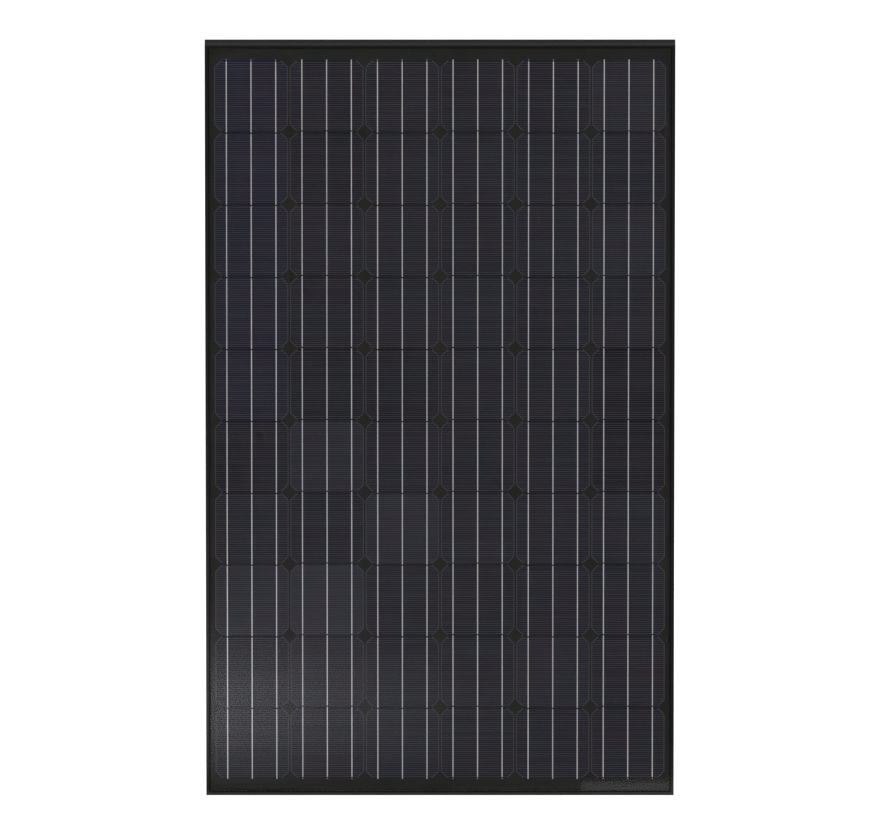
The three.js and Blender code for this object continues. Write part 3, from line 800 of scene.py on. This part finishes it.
# A cooled joint is faintly frosted, in grains of about 0.4 mm.
solder = finish("solder joint", 0.4 * MM, "#b7b8ba", (0.18, 0.4), Metallic=1.0)


def folded_strip(x, width, thickness, line):
    """A strip across X that follows a line of (z, depth) points, folds and all."""
    return loft([[(x + across * width / 2, at_depth(face.y), face.x) for across, face in
                  ((-1, front), (1, front), (1, rear), (-1, rear))]
                 for front, rear in both_edges(line, thickness)])


def rod(profile, placed, segments=32):
    """A turned solid from (radius, distance along) pairs; placed puts (a, b, along) in the frame."""
    turns = [2 * math.pi * k / segments for k in range(segments)]
    return loft([[placed(radius * math.cos(turn), radius * math.sin(turn), along)
                  for turn in turns] for radius, along in profile])


def solder_mound(x, depth, z):
    """A flat dome that faces the rear."""
    leans = [math.pi / 2 * step / mound_steps for step in range(mound_steps)]
    dome = [(math.cos(lean), depth + solder_crown * math.sin(lean)) for lean in leans]
    return rod(dome, lambda a, b, along: (x + solder_reach[0] * a, at_depth(along),
                                          z + solder_reach[1] * b), small_segments)


for number in lead_numbers:
    low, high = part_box(f"lead_out_{number}")
    x = (low.x + high.x) / 2
    line = rounded([
        (high.z, lead_behind_bus, 0),
        (high.z - bus_width, lead_behind_bus, lead_fold),
        (high.z - 1.5 * bus_width, lead_behind_cells, lead_fold),
        (slit_height, lead_behind_cells, lead_fold),
        (slit_height, lead_over_terminal, lead_fold),
        (slit_height - lead_lap, lead_over_terminal, 0),
    ])
    joint = solder_mound(x, lead_over_terminal + lead_thickness / 2 - solder_crown / 4,
                         slit_height - lead_lap + solder_reach[1] / 2)
    add_piece(f"lead_out_ribbon_{number}",
              [folded_strip(x, lead_width, lead_thickness, line), joint],
              [tinned_copper, solder], "tinned_copper", f"lead_out_{number}", [0, 1], 50)


# ---- Backsheet ----
# Black polyester film with a weatherproof fluoropolymer face. The laminator's vacuum drew it over
# what lies beneath, so each ribbon stands out as a low ridge and each gap shows as a faint dip.

ridge_height = 0.08 * MM
ridge_shoulder = 1.4 * MM
dip_depth = 0.06 * MM
column_gap = 3 * MM
slit_play = 0.7 * MM
bus_starts = (5 * MM, 14 * MM)

backsheet_film = new_material("black fluoropolymer-faced backsheet")
# The film's matt emboss is about 0.2 mm across, drawn 2.5 mm across; scuffs run some 80 mm wide.
emboss = noise(backsheet_film, 2.5 * MM, Detail=3.0)
scuffs = noise(backsheet_film, 80 * MM)
surface(backsheet_film, blend(backsheet_film, scuffs, "#161618", "#1c1c1e"),
        between(backsheet_film, scuffs, 0.42, 0.58), IOR=1.42,
        Normal=bump(backsheet_film, emboss, 0.03 * MM, 0.5))

film_low, film_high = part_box("backsheet")
string_centres = [middle_x(f"cell_string_{number}") for number in string_numbers]

# Each mark is (place, how much of a ridge, how much of a dip) across or up the film.
across_marks = [(film_low.x, 0, 0)]
for x in string_centres:
    half = cell_size / 2
    across_marks += [(x - half - column_gap / 2, 0, 1), (x - half, 0, 0)]
    for offset in busbar_offsets:
        side, foot = ribbon_width / 2, ribbon_width / 2 + ridge_shoulder
        across_marks += [(x + offset - foot, 0, 0), (x + offset - side, 1, 0),
                         (x + offset + side, 1, 0), (x + offset + foot, 0, 0)]
    across_marks.append((x + half, 0, 0))
across_marks += [(string_centres[-1] + cell_size / 2 + column_gap / 2, 0, 1), (film_high.x, 0, 0)]

# Up the film a ridge of 2 stands for a bus ribbon, which runs the whole way across the strings.
field_top = field_bottom + field_height
up_marks = [(film_low.z, 0, 0)]
bottom_bus_top = field_bottom - bus_starts[0]
bottom_bus_foot = bottom_bus_top - bus_width
up_marks += [(bottom_bus_foot - ridge_shoulder, 0, 0), (bottom_bus_foot, 2, 0),
             (bottom_bus_top, 2, 0), (bottom_bus_top + ridge_shoulder, 1, 0)]
for row in range(row_count):
    z = field_bottom + row * (cell_size + row_gap)
    up_marks += [(z, 1, 0), (z + cell_size, 1, 0)]
    if row < row_count - 1:
        up_marks.append((z + cell_size + row_gap / 2, 1, 1))
for bus_start, before in zip(bus_starts, (1, 0)):
    start = field_top + bus_start
    up_marks += [(start - ridge_shoulder, before, 0), (start, 2, 0), (start + bus_width, 2, 0)]
up_marks += [(field_top + bus_starts[1] + bus_width + ridge_shoulder, 0, 0), (film_high.z, 0, 0)]


def relief(ridge_across, dip_across, ridge_up, dip_up):
    if ridge_up == 2:
        return ridge_height if dip_across == 0 else ridge_height / 2
    return ridge_height * ridge_across * ridge_up - dip_depth * max(dip_across, dip_up)


columns = len(across_marks)
rear_points = [(x, film_high.y + relief(ridge_x, dip_x, ridge_z, dip_z) * (0 < i < columns - 1), z)
               for z, ridge_z, dip_z in up_marks
               for i, (x, ridge_x, dip_x) in enumerate(across_marks)]
front_points = [(x, film_low.y, z) for z, _, _ in up_marks for x, _, _ in across_marks]
film_faces = []
for j in range(len(up_marks) - 1):
    for i in range(columns - 1):
        film_faces.append([j * columns + i, j * columns + i + 1,
                           (j + 1) * columns + i + 1, (j + 1) * columns + i])
rim = (list(range(columns))
       + [j * columns + columns - 1 for j in range(1, len(up_marks))]
       + [(len(up_marks) - 1) * columns + i for i in range(columns - 2, -1, -1)]
       + [j * columns for j in range(len(up_marks) - 2, 0, -1)])
behind = len(rear_points)
film_faces.append([behind + i for i in rim])
for i, corner in enumerate(rim):
    following = rim[(i + 1) % len(rim)]
    film_faces.append([corner, following, behind + following, behind + corner])
backsheet = make_piece("backsheet_film", [(rear_points + front_points, film_faces)],
                       [backsheet_film])


def slab(x0, x1, depth0, depth1, z0, z1, radius=0.0):
    """A block between two corners, its edges rounded where they run from front to rear."""
    return loft([[(x, at_depth(depth), z) for x, z in rectangle(x0, x1, z0, z1, radius)]
                 for depth in (depth0, depth1)])


slits = []
for number in lead_numbers:
    low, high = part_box(f"lead_out_{number}")
    slits.append(slab(low.x - slit_play, high.x + slit_play, film_low.y - cad_low.y - cut_past,
                      film_high.y - cad_low.y + cut_past, slit_height - slit_play,
                      slit_height + lead_thickness + slit_play))
combine(backsheet, slits, "DIFFERENCE")
smooth(backsheet)
fit(backsheet, "panel", "black_film", "backsheet")


# ---- Junction box adhesive ----
# A loop of black silicone laid on the backsheet. Pressing the box down squeezes a rounded bead out
# all round its foot.

box_half_width = 62 * MM
box_bottom = 1492 * MM
box_top = 1588 * MM
box_corner = 6 * MM
sharpest_corner = 0.5 * MM
corner_steps = 6
box_foot = 8.7 * MM


def round_box(section, closed=False):
    """The junction box's outline through (depth, inset) pairs in mm; insets draw it in."""
    rings = []
    for depth, inset in section:
        half, drawn_in = box_half_width - inset * MM, inset * MM
        ring = rectangle(-half, half, box_bottom + drawn_in, box_top - drawn_in,
                         max(box_corner - drawn_in, sharpest_corner), corner_steps)
        rings.append([(x, at_depth(depth * MM), z) for x, z in ring])
    return loft(rings, closed)


# Where a section is a list of bare numbers, they are its (depth, inset) pairs in mm.
bead_section = [(7.21, -1.4), (7.5, -1.3), (8.0, -0.7), (8.5, 0.2), (8.69, 1.2), (8.69, 9.6),
                (8.2, 10.2), (7.6, 10.2), (7.21, 9.8)]
add_piece("junction_box_adhesive", [round_box(bead_section, True)], [silicone], "silicone",
          "junction_adhesive", angle=50)


# ---- Junction box base ----
# An open tray moulded in black PPE, with four posts for the terminals, a window over the slits,
# two gland holes and two hinge knuckles on arms. The mould leaves a fine spark-eroded texture.

floor_rear = 10.7 * MM
box_rim = 26.7 * MM
post_half_width = 4 * MM
post_front = 9.7 * MM
post_rear = 15.7 * MM
post_bottom = 1542.5 * MM
post_top = 1556 * MM
post_corner = 1 * MM
weld_depth = 0.01 * MM
window_reach = 52.5 * MM
window_margin = 5 * MM
window_corner = 2 * MM
gland_offset = 38 * MM
gland_depth = 17.7 * MM
gland_hole = 6.1 * MM
box_wall = 3 * MM
hinge_depth = 28.85 * MM
hinge_height = 1592 * MM
knuckle_radius = 3.5 * MM
pin_radius = 1.4 * MM
pin_bore = 1.6 * MM
lid_knuckle_end = 20 * MM
base_knuckle_start = 20.4 * MM
base_knuckle_end = 32.4 * MM
knuckle_edge = 0.4 * MM
arm_rear = 27.5 * MM
arm_root = 1 * MM
arm_play = 0.2 * MM
arm_bend = 0.8 * MM
arm_step = 0.1 * MM

moulded_ppe = new_material("black PPE moulding, spark-eroded texture")
# The texture's grains are about 0.25 mm across, drawn 0.7 mm across. Plastic flows in from the
# gate and leaves soft tones about 30 mm wide.
grains = noise(moulded_ppe, 0.7 * MM, Detail=3.0)
flow = noise(moulded_ppe, 30 * MM)
surface(moulded_ppe, blend(moulded_ppe, flow, "#1a1a1b", "#212122"),
        between(moulded_ppe, grains, 0.42, 0.62), IOR=1.5,
        Normal=bump(moulded_ppe, grains, 0.05 * MM, 0.5))


def across(section, x0, x1):
    """A (z, depth) section run along X."""
    return loft([[(x, at_depth(depth), z) for z, depth in section] for x in (x0, x1)])


def on_hinge(a, b, along):
    return along, at_depth(hinge_depth + a), hinge_height + b


def blunt_rod(radius, edge, start, end):
    """A rod on the hinge's axis with both its ends broken by an edge."""
    return rod([(radius - edge, start), (radius, start + edge), (radius, end - edge),
                (radius - edge, end)], on_hinge)


def on_gland(x):
    """Distances along a gland are counted outwards from the box's lower wall."""
    return lambda a, b, along: (x + a, at_depth(gland_depth + b), box_bottom - along)


tray_section = [(8.7, 0.8), (9.5, 0), (26.3, 0), (26.7, 0.4), (26.7, 1.6), (26.3, 2.0),
                (11.3, 2.1), (10.7, 2.7)]
base = make_piece("junction_box_base", [round_box(tray_section)], [moulded_ppe])
for number in lead_numbers:
    x = middle_x(f"terminal_{number}")
    combine(base, [slab(x - post_half_width, x + post_half_width, post_front,
                        post_rear - weld_depth, post_bottom, post_top, post_corner)], "UNION")
for way in (-1, 1):
    start, end = sorted((way * base_knuckle_start, way * base_knuckle_end))
    arm_section = rounded([
        (box_top - arm_root, box_rim - arm_play, 0),
        (box_top - arm_root, box_rim - 2 * knuckle_radius, 0),
        (box_top, box_rim - 2 * knuckle_radius, 0),
        (hinge_height + pin_radius, arm_rear, arm_bend),
        (box_top + arm_step, arm_rear, 0),
        (box_top + arm_step, box_rim - arm_play, 0),
    ])
    combine(base, [across(arm_section, start, end)], "UNION")
    combine(base, [blunt_rod(knuckle_radius, knuckle_edge, start, end)], "UNION")
window = slab(-window_reach, window_reach, box_foot - cut_past, floor_rear + cut_past,
              slit_height - window_margin, slit_height + window_margin, window_corner)
holes = [window, rod([(pin_bore, -base_knuckle_end - cut_past),
                      (pin_bore, base_knuckle_end + cut_past)], on_hinge)]
for x in (-gland_offset, gland_offset):
    holes.append(rod([(gland_hole, -box_wall), (gland_hole, cut_past)], on_gland(x)))
combine(base, holes, "DIFFERENCE")
smooth(base)
fit(base, "panel", "black_moulding", "junction_base")


# ---- Terminals ----
# Stamped tinned copper plates on the tray's posts, each with a hole where a lead's end is
# soldered through.

terminal_corner = 1.5 * MM
terminal_edge = 0.2 * MM
terminal_hole = 1.6 * MM
terminal_hole_up = 4 * MM
for number in lead_numbers:
    low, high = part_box(f"terminal_{number}")
    terminal = make_piece(f"terminal_plate_{number}",
                          [plate(low, high, high.y, terminal_edge, terminal_corner)],
                          [tinned_copper])
    x, z = (low.x + high.x) / 2, low.z + terminal_hole_up
    hole = rod([(terminal_hole, low.y - cut_past), (terminal_hole, high.y + cut_past)],
               lambda a, b, along: (x + a, along, z + b), small_segments)
    combine(terminal, [hole], "DIFFERENCE")
    smooth(terminal)
    fit(terminal, "panel", "tinned_copper", f"terminal_{number}")


# ---- Bypass diodes ----
# Axial diodes in black moulded epoxy, with a pale band at the cathode, soldered by their stiff
# tinned legs between neighbouring terminals.

diode_radius = 3.2 * MM
diode_leg = 0.6 * MM
diode_body_end = 4.5 * MM
diode_leg_end = 12 * MM
diode_edge = 0.4 * MM
band_start = 2.2 * MM
band_end = 3.6 * MM

# Filler grains of about 0.3 mm break up its shine.
diode_epoxy = finish("moulded epoxy", 0.3 * MM, "#1c1c1e", (0.28, 0.45), IOR=1.55)

# Pad-printed paint thins in specks of about 0.4 mm.
band_paint = finish("pale band paint", 0.4 * MM, ("#a9aaab", "#c9cacb"), 0.5)

for number in (1, 2, 3):
    low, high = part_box(f"bypass_diode_{number}")
    middle = (low + high) / 2


    def on_diode(a, b, along):
        return middle.x + along, middle.y + a, middle.z + b


    body = rod([(diode_radius - diode_edge, -diode_body_end),
                (diode_radius, -diode_body_end + diode_edge), (diode_radius, band_start)],
               on_diode)
    band = rod([(diode_radius, band_start), (diode_radius, band_end)], on_diode)
    end = rod([(diode_radius, band_end), (diode_radius, diode_body_end - diode_edge),
               (diode_radius - diode_edge, diode_body_end)], on_diode)
    legs = [rod([(diode_leg, way * diode_body_end), (diode_leg, way * diode_leg_end)], on_diode, 16)
            for way in (-1, 1)]
    add_piece(f"bypass_diode_{number}_axial", [body, band, end] + legs,
              [diode_epoxy, band_paint, tinned_copper], "diode_moulding",
              f"bypass_diode_{number}", [0, 1, 0, 2, 2], 50)


# ---- Lid gasket ----
# A soft silicone loop, moulded with a rounded section, that sits on the tray's rim.

gasket_section = [(26.71, 0.5), (26.95, 0.15), (27.25, 0.15), (27.49, 0.5), (27.49, 1.5),
                  (27.25, 1.85), (26.95, 1.85), (26.71, 1.5)]
add_piece("lid_gasket_loop", [round_box(gasket_section, True)], [silicone], "silicone",
          "lid_gasket", angle=50)


# ---- Junction box lid ----
# Moulded in the same black PPE, with a shallow sunk panel, a locating lip that drops inside the
# tray, a long middle knuckle and two spring tongues with finger grips on its free edge.

lid_front = 27.6 * MM
lid_rear = 30.1 * MM
arm_inset = 0.02 * MM
tongue_offset = 14 * MM
tongue_half_width = 6 * MM

lid_section = [(27.6, 4.0), (24.9, 4.0), (24.7, 3.8), (24.7, 2.6), (24.9, 2.4), (27.6, 2.4),
               (27.6, 0.3), (27.9, 0), (29.3, 0), (29.8, 0.2), (30.1, 0.8), (30.1, 7.0),
               (29.6, 7.6)]
lid = make_piece("junction_box_lid", [round_box(lid_section)], [moulded_ppe])
arm_front, arm_back = lid_front + arm_inset, lid_rear - arm_inset
hinge_arm = across([(box_top - arm_root, arm_front), (hinge_height, arm_front),
                    (hinge_height, arm_back), (box_top - arm_root, arm_back)],
                   -lid_knuckle_end, lid_knuckle_end)
combine(lid, [hinge_arm], "UNION")
combine(lid, [blunt_rod(knuckle_radius, knuckle_edge, -lid_knuckle_end, lid_knuckle_end)], "UNION")
tongue_section = [(z * MM, depth * MM) for z, depth in rounded([
    (1493, 27.62, 0), (1491.6, 27.62, 0), (1491.6, 18.6, 0.3), (1488.9, 18.6, 0.5),
    (1488.9, 19.8, 0.5), (1490.1, 21.0, 0.8), (1490.1, 30.08, 1.0), (1493, 30.08, 0),
])]
for way in (-1, 1):
    tongue = across(tongue_section, way * tongue_offset - tongue_half_width,
                    way * tongue_offset + tongue_half_width)
    combine(lid, [tongue], "UNION")
combine(lid, [rod([(pin_bore, -lid_knuckle_end - cut_past),
                   (pin_bore, lid_knuckle_end + cut_past)], on_hinge)], "DIFFERENCE")
smooth(lid)
fit(lid, "junction_lid", "black_moulding", "junction_lid")


# ---- Hinge pin ----
# A ground stainless steel pin, chamfered at both ends and pushed through all three knuckles.

ground_steel = new_material("ground stainless steel")
# Centreless grinding leaves rings about 0.2 mm apart, drawn 0.6 mm apart.
grinding = waves(ground_steel, 0.6 * MM, 1.0)
surface(ground_steel, linear("#bdbfc1"), between(ground_steel, grinding, 0.2, 0.34), Metallic=1.0)

pin_chamfer = 0.3 * MM
add_piece("lid_hinge_pin_ground",
          [blunt_rod(pin_radius, pin_chamfer, -base_knuckle_end, base_knuckle_end)],
          [ground_steel], "stainless_steel", "lid_hinge_pin")


# ---- Cable glands ----
# Nylon compression glands: a threaded body with a hexagon collar, a ribbed cap nut and, between
# them, a rubber ring that would grip a cable.

gland_bore = 3.6 * MM
thread_radius = 5.8 * MM
thread_root = 5.35 * MM
thread_pitch = 1.5 * MM
collar_radius = 7.4 * MM
collar_start = 0.3 * MM
collar_end = 4.3 * MM
collar_edge = 0.5 * MM
neck_end = 14.3 * MM
shank_end = 7 * MM
nut_radius = 7.8 * MM
nut_ribs = 18
nut_rib_depth = 0.35 * MM
nut_edge = 0.4 * MM
mouth_edge = 0.3 * MM
ring_edge = 0.5 * MM
nut_start = 4.6 * MM
nut_bore = 6.1 * MM
nut_shoulder = 14.6 * MM
nut_end = 19.4 * MM
seal_start = 14.6 * MM
seal_end = 17.6 * MM
gland_segments = 48
nut_segments = 144
hexagon = 6

gland_nylon = new_material("black glass-filled nylon")
# Glass fibres cloud the surface in streaks about 2 mm wide.
fibres = noise(gland_nylon, 2 * MM, Detail=4.0)
surface(gland_nylon, blend(gland_nylon, fibres, "#171718", "#202022"),
        between(gland_nylon, fibres, 0.35, 0.5), IOR=1.53)


def turned(profile, placed, segments, ribs=0, rib_depth=0.0):
    """A bored turning from a closed (radius, along) profile; ribs flute all but its bore."""
    rings = []
    for k in range(segments):
        turn = 2 * math.pi * k / segments
        flute = rib_depth * (0.5 - 0.5 * math.cos(ribs * turn))
        ring = []
        for radius, along in profile:
            reach = radius - flute if radius > nut_bore + rib_depth else radius
            ring.append(placed(reach * math.cos(turn), reach * math.sin(turn), along))
        rings.append(ring)
    return loft(rings, closed=True)


def thread(start, end):
    """The crests and roots of a thread between two distances along."""
    points = []
    for k in range(int((end - start) / thread_pitch)):
        begin = start + k * thread_pitch
        points += [(thread_radius, begin + 0.15 * thread_pitch),
                   (thread_radius, begin + 0.35 * thread_pitch),
                   (thread_root, begin + 0.65 * thread_pitch),
                   (thread_root, begin + 0.85 * thread_pitch)]
    return points


for side, x in (("left", -gland_offset), ("right", gland_offset)):
    threaded = [(gland_bore, -shank_end), (thread_root, -shank_end)]
    threaded += thread(-shank_end, 0)
    threaded += [(thread_radius, collar_start), (thread_radius, collar_end)]
    threaded += thread(collar_end, neck_end)
    threaded += [(thread_root, neck_end), (gland_bore, neck_end)]
    collar = [(thread_root, collar_start), (collar_radius - collar_edge, collar_start),
              (collar_radius, collar_start + collar_edge),
              (collar_radius, collar_end - collar_edge),
              (collar_radius - collar_edge, collar_end), (thread_root, collar_end)]
    add_piece(f"gland_{side}_body",
              [turned(threaded, on_gland(x), gland_segments), turned(collar, on_gland(x), hexagon)],
              [gland_nylon], "black_moulding", f"gland_body_{side}")

    ring_profile = [(gland_bore, seal_start), (thread_radius, seal_start),
                    (thread_radius, seal_end - ring_edge), (thread_radius - ring_edge, seal_end),
                    (gland_bore + mouth_edge, seal_end), (gland_bore, seal_end - mouth_edge)]
    add_piece(f"gland_{side}_seal", [turned(ring_profile, on_gland(x), gland_segments)], [silicone],
              "silicone", f"gland_seal_{side}")

    nut_profile = [(nut_bore, nut_start), (nut_radius - nut_edge, nut_start),
                   (nut_radius, nut_start + nut_edge), (nut_radius, nut_shoulder - ring_edge),
                   (nut_radius - 0.25 * MM, nut_shoulder + nut_edge),
                   (nut_radius - 0.9 * MM, nut_shoulder + 2.0 * MM),
                   (nut_bore + mouth_edge, nut_end - nut_edge), (nut_bore - mouth_edge, nut_end),
                   (gland_bore + mouth_edge, nut_end), (gland_bore, nut_end - mouth_edge),
                   (gland_bore, seal_end + mouth_edge), (nut_bore, seal_end + mouth_edge)]
    add_piece(f"gland_{side}_cap_nut",
              [turned(nut_profile, on_gland(x), nut_segments, nut_ribs, nut_rib_depth)],
              [gland_nylon], "black_moulding", f"gland_nut_{side}", angle=40)


# ---- Rating label ----
# A satin polyester label with rounded corners, ruled for a rating table and left blank.

label_low, label_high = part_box("rating_label")
label_corner = 3 * MM
rule_width = 0.5 * MM
rule_thickness = 0.02 * MM
rule_margin = 5 * MM
rule_count = 7

# Weather yellows the film in faint clouds about 25 mm wide.
label_film = finish("satin polyester label", 25 * MM, ("#c3c4c2", "#cfcfc9"), 0.45, IOR=1.57)

# The ribbon's resin lands a little unevenly, every 2 mm or so.
label_ink = finish("thermal-transfer ink", 2 * MM, ("#1d1d1d", "#2b2b2b"), 0.6)

left, right = label_low.x + rule_margin, label_high.x - rule_margin
bottom, top = label_low.z + rule_margin, label_high.z - rule_margin
rules = [[(left, bottom + (top - bottom) * k / (rule_count - 1)),
          (right, bottom + (top - bottom) * k / (rule_count - 1))] for k in range(rule_count)]
rules += [[(x, bottom), (x, top)] for x in (left, (left + right) / 2, right)]
label_depth = label_high.y - cad_low.y
skins = [loft([inset_ring(label_low, label_high, y, 0, label_corner)
               for y in (label_low.y, label_high.y)])]
skins += [strip(rule, rule_width, label_depth - rule_thickness, label_depth + rule_thickness)
          for rule in rules]
label = make_piece("blank_rating_label", skins, [label_film, label_ink], [0] + [1] * len(rules))
fit(label, "panel", "label_film", "rating_label")


# ---- Floor, light and camera ----
# A white floor lit from below in an even white room, with a wide soft light overhead. Black cloths
# lie in front and stand far behind, where only shiny surfaces see them. They keep the glass and the
# frame's top face dark; a pool of light on the front one lays a veil over the lower left glass.

floor_radius = 70
floor_sides = 72
lit_floor = new_material("white acrylic floor, lit from below")
# The lamps below leave soft patches some 200 mm wide, too faint to see except in reflections.
glow = between(lit_floor, noise(lit_floor, 200 * MM), 0.9, 1.0)
surface(lit_floor, linear("#808080"), 0.9,
        **{"Emission Color": linear("#ffffff"), "Emission Strength": glow})
lit_floor.cycles.emission_sampling = "NONE"


def lay_out(name, corners, material, only_reflected=False):
    """A flat sheet of the stage; one that is only reflected shows in shiny surfaces alone."""
    mesh = bpy.data.meshes.new(name)
    mesh.from_pydata(corners, [], [tuple(range(len(corners)))])
    mesh.materials.append(material)
    sheet = bpy.data.objects.new(name, mesh)
    if only_reflected:
        for rays in ("camera", "diffuse", "shadow", "transmission"):
            setattr(sheet, f"visible_{rays}", False)
    bpy.context.scene.collection.objects.link(sheet)
    sheet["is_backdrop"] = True


turns = [2 * math.pi * k / floor_sides for k in range(floor_sides)]
lay_out("floor", [(floor_radius * math.cos(turn), floor_radius * math.sin(turn), cad_low.z)
                  for turn in turns], lit_floor)

room = bpy.data.worlds.new("white room")
room.use_nodes = True
background = room.node_tree.nodes["Background"]
background.inputs["Color"].default_value = linear("#ffffff")
background.inputs["Strength"].default_value = 1.0
bpy.context.scene.world = room

overhead_place = Vector((0, -1.5, 7))
overhead_target = Vector((0, -1.2, 0))
lamp = bpy.data.lights.new("overhead soft box", "AREA")
lamp.size = 7
lamp.energy = 300
soft_box = bpy.data.objects.new("overhead soft box", lamp)
soft_box.location = overhead_place
soft_box.rotation_euler = (overhead_target - overhead_place).to_track_quat("-Z", "Y").to_euler()
soft_box.visible_camera = False
bpy.context.scene.collection.objects.link(soft_box)
soft_box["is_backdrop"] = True


def glowing(material, factor, least, most):
    """Ends a material in light alone, of a strength that a factor sets."""
    shader = add_node(material, "ShaderNodeEmission",
                      {"Strength": between(material, factor, least, most)})
    add_node(material, "ShaderNodeOutputMaterial", {"Surface": shader.outputs["Emission"]})


black_cloth = new_material("black velvet cloth")
# The velvet's nap lies in brushed patches some 150 mm wide.
glowing(black_cloth, noise(black_cloth, 150 * MM), 0.02, 0.03)
black_cloth.cycles.emission_sampling = "NONE"

pool_centre = Vector((-0.95, -0.65, 0))
pool_reach = Vector((1.25, 0.8, 0))
light_pool = new_material("pool of light on velvet")
# The pool is brightest at its centre and fades to nothing 1.25 m aside and 0.8 m away. The panel
# stands in its far edge.
spread = Vector((1 / pool_reach.x, 1 / pool_reach.y, 0))
off_centre = add_node(light_pool, "ShaderNodeMapping",
                      {"Vector": object_place(light_pool), "Location": -pool_centre * spread,
                       "Scale": spread})
pool = add_node(light_pool, "ShaderNodeTexGradient", {"Vector": off_centre.outputs["Vector"]},
                gradient_type="QUADRATIC_SPHERE")
glowing(light_pool, pool.outputs["Fac"], 0.03, 6.2)


def level(x0, x1, y0, y1, height):
    return [(x0, y0, height), (x1, y0, height), (x1, y1, height), (x0, y1, height)]


cloth_height = cad_low.z + 5 * MM
pool_height = cad_low.z + 10 * MM
cloth_x, cloth_near, cloth_far = 15, -30, -0.1
pool_near, pool_far = pool_centre - pool_reach, pool_centre + pool_reach
pool_far.y = -0.02
rear_x, rear_y, rear_foot, rear_top = 25, 20, 1, 16
lay_out("front cloth", level(-cloth_x, cloth_x, cloth_near, cloth_far, cloth_height),
        black_cloth, True)
lay_out("rear cloth", [(-rear_x, rear_y, rear_foot), (rear_x, rear_y, rear_foot),
                       (rear_x, rear_y, rear_top), (-rear_x, rear_y, rear_top)],
        black_cloth, True)
lay_out("light pool", level(pool_near.x, pool_far.x, pool_near.y, pool_far.y, pool_height),
        light_pool, True)

camera_elevation = math.radians(16.2)
camera_distance = 60
panel_width_in_view = 0.533
camera_data = bpy.data.cameras.new("camera")
camera_data.sensor_width = 36
camera_data.lens = camera_data.sensor_width * panel_width_in_view * camera_distance / panel_width
camera_data.clip_end = 200
camera = bpy.data.objects.new("camera", camera_data)
sight = Vector((0, -math.cos(camera_elevation), math.sin(camera_elevation)))
aim = (cad_low + cad_high) / 2 - Vector((0, 0, 3 * MM))
camera.location = aim + sight * camera_distance
camera.rotation_euler = (-sight).to_track_quat("-Z", "Y").to_euler()
bpy.context.scene.collection.objects.link(camera)
bpy.context.scene.camera = camera
bpy.context.scene.view_settings.view_transform = "Standard"

low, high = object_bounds()
